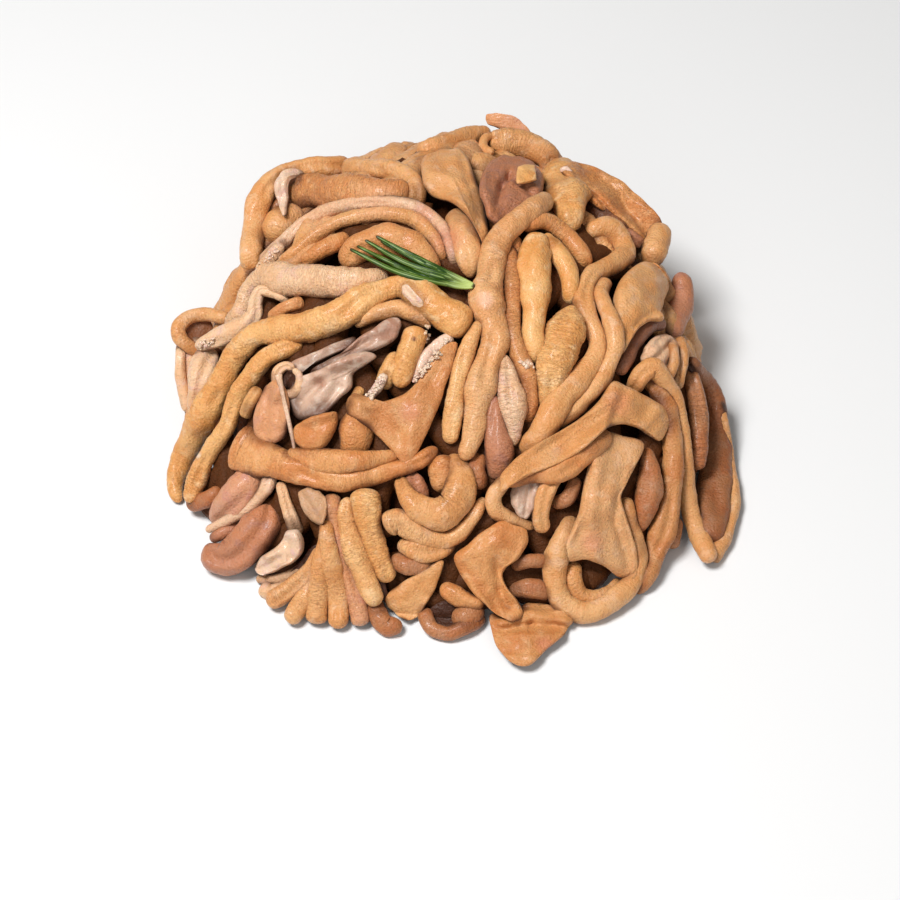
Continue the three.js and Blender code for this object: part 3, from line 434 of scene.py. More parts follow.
# Strands and flaps of the heap, from the lowest to the topmost
LAYERS: tuple[Strand | Flap, ...] = (
    # left edge: two hanging strands and the small ring above them
    Flap("left_sheet", Skin.PALE, (194, 372), ((179, 342), (192, 336), (206, 342), (215, 352), (213, 374),
        (205, 397), (198, 418), (191, 428), (184, 412), (179, 390), (176, 365)), thickness=3, crease=0.3),
    # Painted shade: a dark brown sheet in the opening of the small ring.
    Flap("left_ring_inside", Skin.BROWN, (193, 330), ((180, 328), (190, 319), (206, 318), (214, 328),
        (206, 342), (190, 345)), thickness=2, crease=0.3, rim=0, depth=0.5),
    Strand("left_hanging_outer", Skin.PALE, ((181, 348, 4), (180, 372, 4), (184, 395, 4), (187, 412, 3)),
        open_ends="last"),
    Strand("left_hanging_inner", Skin.PALE, ((209, 350, 8), (203, 372, 8.5), (198, 395, 6.5),
        (192, 415, 4.5)), open_ends="last"),
    Strand("left_ring", Skin.TAN, ((230, 320, 4.8), (206, 314, 5), (187, 318, 5), (178, 330, 5),
        (184, 343, 4.5), (197, 351, 4))),
    Strand("left_foot", Skin.BROWN, ((190, 503, 5), (206, 500, 5), (222, 490, 4.5))),
    # far rim and crown
    Strand("rim_under", Skin.BROWN, ((306, 200, 8), (286, 207, 9), (264, 214, 8))),
    Strand("rim_left", Skin.TAN, ((348, 167, 7.4), (312, 168, 7.4), (285, 175, 7.2), (264, 192, 7.5),
        (255, 216, 8), (251, 245, 8), (252, 270, 7)), crease=0.25),
    Strand("rim_bulge", Skin.TAN, ((302, 214, 11), (285, 222, 12.5), (268, 240, 9))),
    Strand("crown_back", Skin.TAN, ((418, 153, 5), (445, 143, 5.8), (470, 136, 5.8), (489, 133, 5))),
    Strand("second_finger", Skin.TAN, ((345, 168, 7), (380, 169, 7.2), (405, 175, 7), (416, 190, 6.5),
        (414, 206, 6))),
    Strand("back_finger", Skin.ORANGE, ((284, 190, 11), (330, 192, 12), (370, 194, 12), (410, 197, 11)),
        crease=0.9, depth=0.15),
    Flap("rim_fat", Skin.FAT, (283, 185), ((299, 169), (303, 174), (296, 178), (290, 182), (288, 190),
        (288, 199), (286, 211), (282, 215), (280, 205), (276, 196), (275, 184), (281, 175), (290, 170)),
        thickness=4, crease=0.3, squeeze=0.75, grooves=(Groove((284, 182), (283, 206), 2.5, 0.7),
        Groove((296, 172), (282, 178), 3, 0.5))),
    Strand("crown_tube", Skin.TAN, ((488, 143, 8), (510, 141, 8.6), (530, 146, 8.6), (547, 156, 8.6),
        (556, 170, 8)), crease=0.7, open_ends="first"),
    Strand("crown_mouth", Skin.TAN, ((494, 136, 2.6), (486, 138, 3), (483, 145, 3), (487, 151, 3),
        (494, 152, 2.6)), thickness=3.2, crease=0.2, open_ends="first last"),
    Flap("thin_flap", Skin.PINK, (508, 124), ((486, 115), (492, 113), (502, 115), (514, 118), (524, 124),
        (532, 133), (527, 138), (516, 134), (504, 130), (493, 126), (487, 121)), thickness=2, crease=0.1,
        rim=0.4, depth=0.1),
    Strand("crown_twin", Skin.TAN, ((455, 212, 7), (463, 235, 8.6), (468, 255, 8.6), (471, 278, 5)),
        crease=0.25),
    Flap("crown_left", Skin.TAN, (450, 178), ((421, 170), (424, 158), (438, 151), (455, 150), (466, 157),
        (474, 175), (481, 195), (487, 215), (488, 235), (484, 246), (477, 232), (468, 217), (456, 206),
        (440, 199), (426, 190)), thickness=9, crease=0.25, rim=0.12, boxiness=3, depth=0.2,
        grooves=(Groove((432, 172), (470, 196), 7, -1.0), Groove((462, 164), (480, 226), 4, 0.8))),
    Flap("dark_fold", Skin.MAUVE, (511, 192), ((487, 165), (496, 158), (510, 157), (524, 160), (536, 167),
        (543, 180), (542, 196), (534, 208), (521, 217), (510, 226), (500, 228), (490, 220), (484, 208),
        (480, 193), (481, 177)), thickness=10, crease=0.7, rim=0.1, boxiness=2.8, depth=0.18,
        grooves=(Groove((498, 206), (501, 190), 4, 2.4), Groove((501, 190), (508, 180), 3.5, 2.8),
        Groove((508, 180), (518, 187), 3, 1.6), Groove((518, 187), (534, 200), 3, 1.6),
        Groove((505, 216), (522, 204), 5, 0.8))),
    Flap("crown_cube", Skin.YELLOW, (526, 174), ((517, 170), (519, 167), (527, 165), (534, 166), (535, 169),
        (536, 177), (535, 181), (527, 183), (519, 184), (516, 181)), thickness=2.6, crease=0.1, rim=0,
        boxiness=10, squeeze=1),
    Strand("right_crown_drop", Skin.YELLOW, ((559, 162, 10), (564, 188, 16), (570, 212, 11), (573, 232, 5)),
        crease=0.6, open_ends="last"),
    # Painted shade: a dark brown strand in the shade under the orange band.
    Strand("right_crown_inner", Skin.BROWN, ((578, 184, 7), (594, 206, 9), (614, 228, 9), (634, 244, 7)),
        crease=0.6, depth=0.25),
    Flap("right_crown", Skin.ORANGE, (614, 199), ((563, 170), (568, 163), (580, 163), (598, 170),
        (618, 182), (638, 198), (654, 215), (663, 229), (661, 243), (652, 249), (640, 238), (626, 225),
        (610, 216), (595, 207), (582, 196), (569, 183)), thickness=7.5, crease=0.95, rim=0.1, boxiness=2.8,
        grooves=(Groove((590, 178), (648, 226), 7, -0.8),)),
    Strand("crown_fat", Skin.FAT, ((560, 171, 2), (566, 169, 2.6), (572, 173, 2)), thickness=1.6,
        open_ends="first last"),
    Strand("right_shoulder", Skin.TAN, ((661, 226, 6.5), (657, 244, 7.5), (649, 266, 7))),
    Strand("right_shoulder_small", Skin.MAUVE, ((622, 230, 4.3), (642, 245, 4.3))),
    # upper left: the orange dome, the double arc over it and the wide pale strap
    Strand("dome_small", Skin.ORANGE, ((303, 262, 5), (322, 250, 5), (348, 238, 5)), crease=0.5),
    Strand("dome", Skin.ORANGE, ((343, 264, 8), (362, 247, 10), (388, 241, 11), (412, 248, 10.5),
        (426, 262, 10), (431, 280, 8)), crease=0.5),
    Strand("arc_inner", Skin.TAN, ((281, 264, 4.3), (300, 248, 4.5), (325, 229, 4.5), (350, 218, 4.5),
        (385, 214, 4.5), (415, 220, 4.5), (435, 240, 4.5), (443, 260, 4)), crease=0.6, depth=0.12),
    Strand("arc_outer", Skin.PALE, ((262, 263, 4.3), (285, 240, 4.5), (305, 222, 4.5), (330, 210, 4.5),
        (360, 203, 4.5), (395, 203, 4.5), (420, 210, 4.5), (441, 226, 4.5), (451, 246, 4.3), (456, 264, 4)),
        crease=0.6, depth=0.18),
    Strand("crumbly_end", Skin.PALE, ((257, 272, 3.4), (267, 262, 4.6), (276, 252, 4.2), (283, 244, 3)),
        thickness=4, crease=0.9, open_ends="first last"),
    Strand("pale_strap", Skin.PALE, ((388, 277, 6), (350, 282, 9), (320, 282, 10), (290, 280, 10),
        (266, 278, 8.5), (250, 288, 6), (245, 301, 5.5), (240, 314, 5.5), (226, 326, 4.5)), crease=0.75),
    Strand("pale_ridge", Skin.PALE, ((290, 300, 3), (274, 293, 3.6), (261, 291, 4.3), (256, 301, 4.5),
        (255, 313, 5), (246, 325, 5.8), (228, 333, 6.5), (208, 342, 5.8), (196, 348, 4)), crease=0.3,
        open_ends="last"),
    Strand("small_inner_bit", Skin.ORANGE, ((270, 318, 4.3), (285, 308, 4.5), (303, 302, 4.3))),
    # middle left hollow: glossy membranes, plump chunks and the open tube end
    Flap("membrane_back", Skin.MEMBRANE, (322, 358), ((286, 372), (291, 362), (303, 357), (320, 350),
        (337, 342), (352, 337), (356, 341), (349, 348), (335, 355), (322, 361), (306, 370), (294, 380)),
        thickness=4, crease=0.1, boxiness=2.6, depth=0.2,
        grooves=(Groove((296, 368), (346, 343), 4, 0.5),)),
    Flap("membrane_front", Skin.MEMBRANE, (358, 347), ((310, 372), (322, 364), (336, 357), (350, 346),
        (362, 336), (376, 328), (388, 319), (398, 318), (402, 326), (397, 337), (388, 345), (375, 351),
        (362, 357), (348, 362), (334, 368), (320, 376)), thickness=7.5, crease=0.1, boxiness=2.4,
        depth=0.25, grooves=(Groove((326, 364), (368, 343), 4, 1.3), Groove((368, 343), (392, 333), 4, 0.8),
        Groove((345, 348), (384, 326), 4, -0.5))),
    Flap("membrane_sheet", Skin.MEMBRANE, (322, 388), ((291, 386), (298, 378), (312, 372), (326, 366),
        (338, 360), (352, 354), (368, 351), (376, 357), (366, 365), (354, 374), (351, 388), (340, 399),
        (328, 412), (312, 421), (298, 419), (289, 408), (287, 396)), thickness=6.5, crease=0.1, rim=0.2,
        boxiness=2.8, grooves=(Groove((302, 402), (326, 380), 4.5, 1.7),
        Groove((322, 410), (340, 388), 4.5, 1.4), Groove((296, 390), (316, 378), 4, -1.1),
        Groove((330, 368), (362, 359), 4, -1.2), Groove((316, 398), (334, 380), 4, -0.9),
        Groove((336, 374), (350, 370), 4, 0.9))),
    # Painted shade: a dark brown sheet in the open end of the tube.
    Flap("tube_hole", Skin.BROWN, (288, 380), ((281, 371), (289, 368), (296, 372), (297, 381), (292, 390),
        (284, 390), (280, 381)), thickness=2, rim=0, depth=0.85),
    Strand("tube_rim", Skin.PALE, ((295, 369, 2.6), (286, 366, 3), (278, 372, 3), (277, 383, 3),
        (282, 393, 3), (292, 394, 3), (299, 386, 3), (299, 375, 2.6), (293, 369, 2.2)), thickness=2.6,
        crease=0.2, open_ends="first last"),
    Flap("plump_left", Skin.PINK, (271, 412), ((268, 384), (277, 380), (285, 386), (289, 402), (290, 420),
        (287, 436), (276, 443), (264, 442), (255, 434), (253, 421), (257, 404), (262, 392)), thickness=8,
        crease=0.3, boxiness=2.6, grooves=(Groove((272, 390), (266, 432), 5, 1.3),
        Groove((284, 392), (280, 432), 4, 0.7))),
    Flap("plump_orange", Skin.ORANGE, (317, 433), ((294, 428), (305, 420), (321, 414), (336, 412),
        (337, 425), (332, 438), (322, 449), (305, 450), (295, 441)), thickness=8, crease=0.3, rim=0,
        boxiness=3, depth=0.2),
    Strand("plump_side", Skin.ORANGE, ((362, 410, 9.5), (357, 432, 10.5), (352, 458, 9)), crease=0.6),
    Strand("short_yellow", Skin.YELLOW, ((259, 388, 4.3), (250, 402, 4.5), (245, 416, 4.3))),
    Strand("inner_low", Skin.TAN, ((355, 325, 3.6), (375, 314, 5), (398, 309, 5.6), (418, 316, 5),
        (431, 326, 3.5)), crease=0.4),
    # long left twins, from the far corner round to the near left foot
    Strand("left_twin_inner", Skin.YELLOW, ((302, 343, 3.5), (282, 350, 5.8), (266, 358, 7), (253, 373, 7),
        (240, 392, 6.5), (232, 410, 5.8), (226, 428, 5.8), (214, 445, 6.5), (204, 462, 5.8),
        (196, 482, 5.8), (188, 503, 4.5)), crease=0.55, open_ends="last"),
    Strand("left_twin_outer", Skin.YELLOW, ((470, 329, 8.5), (452, 318, 10), (430, 302, 10),
        (405, 287, 8.5), (388, 289, 8), (365, 300, 9), (340, 315, 10), (310, 325, 9), (280, 330, 8),
        (255, 335, 7.5), (238, 352, 8.5), (227, 372, 8.5), (216, 392, 9), (207, 410, 10), (196, 430, 9),
        (186, 449, 8), (178, 468, 6.8), (175, 488, 5.5), (180, 503, 4)), crease=0.55,
        open_ends="first last"),
    Flap("band_fat", Skin.FAT, (412, 296), ((402, 286), (407, 284), (412, 289), (419, 297), (424, 303),
        (422, 309), (414, 306), (407, 300), (402, 293)), thickness=3.4, crease=0.2, squeeze=0.85,
        grooves=(Groove((406, 290), (418, 304), 2.5, 0.5),)),
    # fingers and flap over the hollow
    Strand("finger_spotted", Skin.YELLOW, ((417, 326, 8), (413, 343, 8.3), (406, 362, 7), (399, 388, 5.5)),
        crease=0.5, open_ends="first last"),
    Strand("finger_plain", Skin.YELLOW, ((397, 352, 4.5), (390, 368, 6), (383, 388, 5.5)), crease=0.5,
        open_ends="first"),
    Strand("crumbly_patch", Skin.FAT, ((386, 374, 2.6), (377, 388, 3.2), (367, 400, 2.6)), thickness=2.4,
        open_ends="first last"),
    Strand("finger_lip", Skin.YELLOW, ((361, 388, 3.6), (352, 406, 3.6)), crease=0.3),
    Strand("crumbly_strip", Skin.FAT, ((453, 337, 4.3), (440, 345, 4), (428, 355, 3.5), (420, 367, 3),
        (414, 383, 2.5)), thickness=2.6, open_ends="first last"),
    # near left: mauve folds and the glossy fat curl
    Strand("mauve_fold", Skin.MAUVE, ((268, 504, 6.5), (263, 522, 10.5), (250, 540, 12), (235, 556, 12),
        (218, 558, 11), (207, 544, 7)), form=Form.FOLD, crease=0.3, open_ends="last"),
    Strand("mauve_lip", Skin.MAUVE, ((242, 526, 4.3), (225, 532, 4.3), (211, 540, 4)), crease=0.3),
    Strand("pink_fold", Skin.PINK, ((258, 470, 9), (243, 490, 12), (230, 506, 10), (214, 523, 6)),
        crease=0.25),
    Strand("pink_ridge", Skin.PALE, ((271, 474, 5), (266, 488, 5), (255, 502, 4.5), (238, 514, 4),
        (220, 524, 3), (206, 531, 2.5)), crease=0.3, open_ends="last"),
    Strand("fan_post", Skin.PALE, ((280, 482, 2.6), (285, 500, 3.6), (291, 518, 4.6), (297, 534, 5.2)),
        crease=0.4, depth=0.12),
    Strand("thin_fold_upper", Skin.PALE, ((257, 579, 3.2), (275, 579, 3.4), (292, 574, 3.2), (306, 565, 3),
        (317, 554, 3)), crease=0.4),
    Strand("thin_fold_lower", Skin.PALE, ((261, 588, 4.5), (270, 592, 4.8), (283, 588, 4), (294, 580, 3.5),
        (305, 571, 3)), crease=0.4),
    Flap("fat_curl", Skin.FAT, (286, 553), ((287, 531), (296, 529), (303, 537), (304, 550), (297, 560),
        (285, 567), (272, 573), (261, 575), (255, 568), (259, 559), (268, 552), (277, 546), (283, 539)),
        thickness=8, crease=0.3, rim=0.2, boxiness=2.6, grooves=(Groove((288, 540), (292, 556), 4, 1.5),
        Groove((262, 568), (282, 558), 3.5, 1.1), Groove((270, 556), (280, 550), 4, -1.0),
        Groove((299, 538), (300, 552), 4, -0.8))),
    # near left fan: fingers that spread out to the front edge
    # Painted shadow: a dark brown sheet under the fan's fingers.
    Flap("fan_base", Skin.BROWN, (330, 582), ((270, 590), (285, 578), (300, 562), (314, 545), (335, 540),
        (358, 548), (378, 570), (388, 592), (390, 600), (374, 602), (358, 603), (338, 604), (314, 602),
        (292, 602), (278, 600)), thickness=1.4, rim=0, depth=0.8),
    Strand("fan_finger_2", Skin.TAN, ((289, 623, 6), (298, 609, 6.6), (307, 594, 6.4), (314, 578, 5.2),
        (319, 560, 4.4), (322, 545, 3.6)), crease=0.6, open_ends="first"),
    Strand("fan_finger_1", Skin.TAN, ((267, 604, 6), (284, 594, 6.6), (299, 582, 6.4), (312, 566, 5),
        (320, 548, 4.2)), crease=0.6, open_ends="first"),
    Strand("fan_finger_3", Skin.TAN, ((315, 624, 6.4), (318, 604, 6.5), (319, 582, 6), (321, 560, 5.8),
        (325, 538, 4.4), (327, 515, 4)), crease=0.6, open_ends="first"),
    Strand("fan_finger_5", Skin.PINK, ((361, 626, 6.2), (358, 606, 6.5), (352, 585, 6), (343, 563, 5.8),
        (337, 540, 5.2), (332, 518, 5), (333, 495, 5)), crease=0.5, open_ends="first"),
    Strand("fan_finger_4", Skin.TAN, ((338, 629, 6.2), (338, 608, 7), (335, 585, 7.2), (331, 562, 6.2),
        (327, 540, 4.8), (326, 520, 4)), crease=0.6, open_ends="first"),
    Flap("fan_grey_piece", Skin.PALE, (312, 508), ((298, 494), (306, 488), (317, 490), (326, 498),
        (327, 511), (322, 524), (313, 522), (304, 512)), thickness=5, crease=0.3, boxiness=2.6, depth=0.4,
        grooves=(Groove((302, 494), (320, 518), 3.5, 1.2),)),
    Strand("fan_under_tip", Skin.BROWN, ((372, 600, 5), (378, 616, 6), (388, 627, 6), (402, 623, 4.5)),
        open_ends="last"),
    Strand("fan_yellow_left", Skin.YELLOW, ((348, 497, 4.5), (346, 515, 5.5), (350, 535, 6.3),
        (358, 560, 7.3), (367, 582, 7.5), (377, 606, 6)), crease=0.8, open_ends="first last"),
    Strand("fan_yellow_right", Skin.YELLOW, ((365, 488, 8.5), (366, 510, 9), (371, 532, 7.3),
        (377, 552, 6.5), (384, 568, 6.5), (390, 582, 5.5)), crease=0.8, open_ends="first last"),
    # near middle: nested loops, open flap and the open mouth at the front edge
    # Painted shade: a dark brown sheet inside the open mouth.
    Flap("mouth_inside", Skin.BROWN, (454, 616), ((428, 612), (440, 602), (456, 600), (474, 606),
        (482, 616), (468, 628), (446, 631), (432, 625)), thickness=2, rim=0, depth=0.8),
    Strand("mouth_under", Skin.BROWN, ((424, 610, 4.5), (431, 627, 5), (447, 633, 5), (463, 628, 5.5),
        (482, 616, 5))),
    Strand("mouth_lobe", Skin.BROWN, ((452, 618, 6.5), (465, 617, 8), (482, 608, 6))),
    Strand("small_curl", Skin.ORANGE, ((441, 585, 4.5), (455, 595, 6.5), (470, 602, 4.5), (484, 604, 3)),
        open_ends="first"),
    Flap("open_flap", Skin.TAN, (414, 594), ((444, 561), (437, 584), (428, 602), (418, 617), (406, 620),
        (394, 612), (385, 602), (392, 590), (406, 580), (422, 570), (435, 562)), thickness=3, crease=0.2),
    Strand("nest_lowest", Skin.BROWN, ((392, 558, 5), (407, 565, 6), (420, 567, 5.5), (433, 561, 3.5))),
    Strand("nest_low", Skin.TAN, ((399, 543, 4.5), (413, 549, 6), (428, 553, 6), (444, 550, 4),
        (454, 543, 3.5)), crease=0.6),
    Strand("nest_middle", Skin.TAN, ((384, 527, 7.5), (398, 522, 8), (413, 529, 8), (430, 538, 6.5),
        (447, 540, 5.8), (462, 531, 5), (475, 515, 4.3), (484, 498, 3.6)), crease=0.6, open_ends="first"),
    Strand("nest_inner", Skin.MAUVE, ((411, 474, 6), (417, 490, 7.5), (425, 502, 5))),
    Strand("nest_outer", Skin.TAN, ((450, 455, 5), (459, 472, 8.6), (460, 491, 9), (452, 507, 9.5),
        (437, 513, 9.5), (420, 508, 8.5), (407, 495, 6), (400, 477, 5)), crease=0.6),
    Strand("nest_flap", Skin.ORANGE, ((440, 458, 8), (443, 475, 9), (440, 492, 6)), crease=0.7),
    # right backdrop
    Strand("backdrop_right", Skin.MAUVE, ((680, 272, 6), (682, 296, 8), (678, 316, 8), (671, 338, 6)),
        crease=0.3, open_ends="first"),
    Strand("right_arch", Skin.MAUVE, ((664, 324, 4.5), (650, 326, 5), (640, 335, 5), (632, 347, 5),
        (626, 360, 5), (618, 374, 4.5)), crease=0.3, depth=0),
    Flap("right_blob", Skin.TAN, (638, 302), ((640, 263), (652, 263), (661, 270), (667, 284), (664, 300),
        (660, 312), (662, 321), (650, 322), (640, 328), (632, 338), (624, 352), (617, 358), (612, 345),
        (611, 328), (613, 308), (616, 290), (625, 274)), thickness=10.5, crease=0.35, boxiness=2.8,
        grooves=(Groove((622, 300), (652, 288), 7, -0.9), Groove((658, 310), (626, 332), 4, 0.9))),
    Flap("right_lump", Skin.PALE, (660, 353), ((642, 354), (646, 345), (654, 337), (665, 334), (674, 339),
        (679, 350), (678, 362), (670, 370), (657, 372), (646, 368), (641, 361)), thickness=7, crease=0.2,
        boxiness=2.6, grooves=(Groove((648, 365), (670, 343), 3.4, 1.4),
        Groove((658, 371), (678, 353), 3.2, 1.1), Groove((643, 356), (660, 339), 3, 0.8))),
    Strand("right_side_inner", Skin.TAN, ((672, 343, 3.6), (674, 362, 3.8), (666, 380, 3.6)), crease=0.4),
    Strand("right_side_outer", Skin.TAN, ((680, 338, 3.6), (683, 356, 3.8), (680, 372, 3.6),
        (677, 388, 3.6)), crease=0.4),
    # middle: the strands that run down from the crown
    Strand("middle_knob", Skin.BROWN, ((480, 455, 6), (476, 470, 6.5), (483, 488, 5))),
    Strand("middle_short", Skin.MAUVE, ((494, 395, 3.6), (494, 415, 5), (496, 435, 6.5), (499, 456, 9),
        (498, 478, 8)), crease=0.4, open_ends="first"),
    Strand("column_pocket", Skin.ORANGE, ((513, 238, 5), (516, 256, 4)), crease=0.9),
    Strand("column_right", Skin.ORANGE, ((510, 248, 4.5), (512, 280, 5), (513, 310, 5), (513, 335, 5.5),
        (519, 355, 5.8), (528, 378, 5.8), (530, 400, 5.5), (528, 422, 4.5)), crease=0.9, depth=0.2),
    Strand("column_spindle", Skin.PALE, ((504, 354, 3), (508, 375, 6.5), (511, 395, 8.5), (513, 415, 7.5),
        (514, 432, 5), (514, 446, 3)), crease=1, open_ends="first last"),
    Strand("column_left", Skin.YELLOW, ((480, 321, 3), (470, 342, 5), (464, 360, 5.5), (458, 380, 5.8),
        (455, 400, 6.3), (452, 420, 6), (450, 444, 4.5)), crease=0.6, open_ends="last"),
    Strand("column_main", Skin.TAN, ((550, 199, 6.5), (525, 214, 7), (504, 235, 8.5), (493, 255, 8.5),
        (490, 276, 10), (486, 297, 11.5), (490, 318, 9.5), (495, 338, 8.5), (490, 357, 8.5), (482, 380, 9),
        (477, 405, 8), (475, 425, 7.8), (470, 445, 7), (462, 460, 5)), crease=0.55, open_ends="last"),
    Strand("column_arch", Skin.ORANGE, ((522, 228, 4.5), (542, 221, 5), (560, 229, 5.5), (574, 243, 6),
        (584, 258, 6), (586, 268, 5)), crease=0.55),
    Strand("long_loop_right", Skin.YELLOW, ((542, 241, 7), (556, 251, 7), (567, 268, 6.5), (571, 286, 5.5),
        (570, 304, 4.5)), crease=0.12),
    Strand("long_loop_left", Skin.YELLOW, ((549, 240, 6), (538, 246, 9), (533, 264, 10.5), (535, 286, 10),
        (535, 310, 8), (533, 332, 7), (536, 348, 6.5), (536, 364, 4)), crease=0.12),
    Strand("wrinkled_spindle", Skin.YELLOW, ((573, 305, 5), (567, 328, 12.5), (560, 350, 12.5),
        (553, 372, 10), (549, 395, 7), (545, 414, 4.5)), crease=1, open_ends="first last"),
    Strand("curl_twin", Skin.TAN, ((607, 280, 4.5), (601, 295, 5.8), (607, 311, 5.8), (614, 328, 5.8),
        (615, 348, 5.8), (608, 366, 5.8), (599, 381, 5.8), (586, 395, 6.3), (570, 410, 6.5), (552, 426, 6)),
        crease=0.3),
    Strand("curl_main", Skin.TAN, ((585, 233, 6), (604, 227, 7), (620, 238, 7), (625, 254, 7),
        (611, 265, 6.5), (593, 274, 6.5), (584, 290, 6.5), (584, 306, 6.5), (590, 321, 6.5),
        (597, 337, 6.5), (597, 353, 6.5), (588, 369, 7), (576, 383, 7.5), (563, 396, 7.8), (552, 413, 8),
        (541, 434, 8), (526, 454, 6.5)), crease=0.3),
    # flap that hangs over the near left strap
    Strand("strap_near", Skin.ORANGE, ((232, 444, 16), (243, 449, 15), (257, 455, 12), (276, 462, 9.4),
        (302, 471, 8.4), (330, 479, 7.5), (360, 477, 6.8), (390, 470, 5.8), (415, 463, 5), (437, 448, 3.6)),
        thickness=7, crease=0.6, open_ends="first"),
    Strand("white_thread", Skin.FAT, ((278, 374, 2.6), (284, 400, 1.7), (290, 426, 1.3), (296, 458, 0.9)),
        thickness=1.2, open_ends="first last"),
    Strand("strap_upper", Skin.ORANGE, ((288, 453, 4.3), (320, 461, 7), (350, 461, 6.5), (380, 458, 5),
        (402, 455, 3)), crease=0.6),
    Flap("flap", Skin.ORANGE, (408, 410), ((458, 343), (453, 366), (446, 387), (438, 410), (424, 440),
        (408, 464), (391, 450), (374, 433), (360, 423), (348, 415), (346, 402), (354, 393), (366, 399),
        (380, 402), (395, 398), (410, 389), (424, 373), (435, 356), (446, 344)), thickness=4.4, crease=0.5,
        boxiness=3, depth=0.2, grooves=(Groove((364, 405), (398, 432), 5, 1.0),
        Groove((446, 360), (420, 400), 5, 0.9), Groove((352, 398), (374, 408), 4, -0.9),
        Groove((422, 388), (408, 450), 8, -1.0))),
    # lower right: cup-shaped outer sheet, hanging strands, ring and skirt
    # The outer sheet is painted darker for the shade that falls on it.
    Strand("outer_sheet", Skin.BROWN, ((688, 358, 4.5), (706, 382, 5), (714, 402, 7), (716, 430, 9),
        (715, 475, 12), (712, 510, 12), (710, 545, 7)), thickness=7, crease=0.4, depth=0.35,
        open_ends="last"),
    Strand("outer_edge", Skin.TAN, ((721, 408, 3.2), (725, 436, 4.4), (729, 468, 5), (733, 500, 4.6),
        (729, 525, 4.6), (720, 545, 5), (709, 559, 6)), crease=0.5, open_ends="last"),
    Strand("right_hanging", Skin.BROWN, ((690, 370, 5.5), (697, 400, 6), (698, 430, 6), (698, 455, 6),
        (697, 470, 5)), crease=0.7, open_ends="last"),
    Strand("low_shadow_fold", Skin.BROWN, ((674, 518, 5), (672, 548, 5))),
    Strand("side_leg", Skin.ORANGE, ((644, 378, 4.5), (657, 391, 6), (667, 410, 6.3), (672, 438, 6),
        (673, 470, 6.5), (670, 500, 7.5), (663, 528, 8), (655, 553, 7.5), (647, 574, 6.5), (632, 593, 5)),
        crease=0.4, depth=0.28),
    Strand("fold_leg", Skin.TAN, ((632, 392, 5), (641, 376, 6), (653, 368, 6.3), (666, 383, 6.3),
        (675, 402, 6), (681, 430, 5.8), (685, 460, 5.5), (687, 490, 5.5), (692, 518, 6), (702, 542, 6.5),
        (712, 562, 6.5)), crease=0.4, open_ends="last"),
    Strand("side_spindle", Skin.BROWN, ((646, 448, 4), (650, 472, 7), (649, 495, 8), (644, 515, 6),
        (639, 532, 3)), crease=0.5),
    Strand("ring_inner", Skin.TAN, ((574, 562, 5), (573, 580, 6), (581, 595, 6), (597, 599, 5.5),
        (611, 592, 5), (620, 580, 4)), crease=0.5),
    Strand("ring", Skin.TAN, ((574, 518, 5), (562, 541, 6.5), (555, 563, 7), (555, 586, 7), (564, 604, 7),
        (581, 612, 7), (600, 609, 7), (617, 598, 7), (631, 583, 6.5), (638, 562, 6), (636, 540, 5.5),
        (630, 518, 5), (624, 498, 4.5)), crease=0.35),
    Flap("skirt", Skin.TAN, (603, 506), ((598, 430), (620, 434), (643, 444), (637, 462), (628, 480),
        (621, 497), (626, 515), (632, 535), (638, 556), (634, 577), (619, 576), (603, 566), (586, 559),
        (569, 561), (566, 546), (573, 527), (580, 503), (586, 475), (592, 450)), thickness=7.5, crease=0.45,
        rim=0.2, boxiness=2.8, grooves=(Groove((622, 470), (613, 520), 4, 0.8),
        Groove((613, 520), (628, 566), 4, 0.8), Groove((596, 450), (590, 520), 7, -1.0),
        Groove((590, 520), (594, 556), 8, -1.2))),
    # near right: the strap across, its tail loop and what lies in it
    Flap("tail_membrane", Skin.MEMBRANE, (526, 497), ((516, 483), (528, 478), (540, 480), (544, 489),
        (539, 500), (533, 512), (525, 519), (516, 513), (511, 501), (511, 490)), thickness=5, crease=0.2,
        boxiness=2.6, grooves=(Groove((530, 482), (525, 514), 3.2, 1.3),
        Groove((518, 488), (516, 506), 3, -0.8))),
    Strand("tail_curl", Skin.BROWN, ((577, 478, 4.5), (568, 498, 5.5), (552, 504, 4.5))),
    Strand("tail_strand", Skin.TAN, ((557, 472, 5), (547, 490, 5.8), (541, 510, 5.5), (543, 533, 5)),
        open_ends="last"),
    Strand("tail_loop", Skin.TAN, ((508, 478, 5.5), (494, 495, 5.5), (497, 511, 5.5), (515, 521, 4.5),
        (534, 527, 3)), crease=0.4),
    Strand("strap_across_low", Skin.ORANGE, ((606, 432, 7), (580, 457, 7), (556, 472, 6.5), (532, 474, 5.5),
        (507, 482, 5)), crease=0.3),
    Flap("strap_across", Skin.TAN, (610, 404), ((500, 486), (502, 474), (514, 460), (533, 446), (556, 433),
        (580, 418), (600, 399), (612, 381), (626, 386), (641, 393), (656, 401), (666, 412), (668, 425),
        (661, 441), (650, 436), (637, 428), (622, 424), (608, 428), (596, 438), (582, 450), (558, 463),
        (532, 474), (513, 485), (505, 490)), thickness=7, crease=0.5, rim=0.15, boxiness=2.6,
        grooves=(Groove((624, 390), (612, 420), 5, 1.2), Groove((516, 474), (584, 436), 5, -0.5),
        Groove((656, 410), (640, 432), 5, -0.8), Groove((540, 452), (590, 418), 4, 0.5))),
    # near front: the big fold and the tip that reaches furthest forward
    Flap("tip", Skin.ORANGE, (528, 637), ((489, 617), (500, 612), (512, 609), (522, 606), (531, 603),
        (542, 603), (553, 606), (564, 612), (573, 622), (566, 633), (554, 644), (541, 656), (527, 666),
        (514, 664), (503, 655), (494, 640)), thickness=6.5, crease=0.35, rim=0.15, boxiness=2.8, depth=0.2,
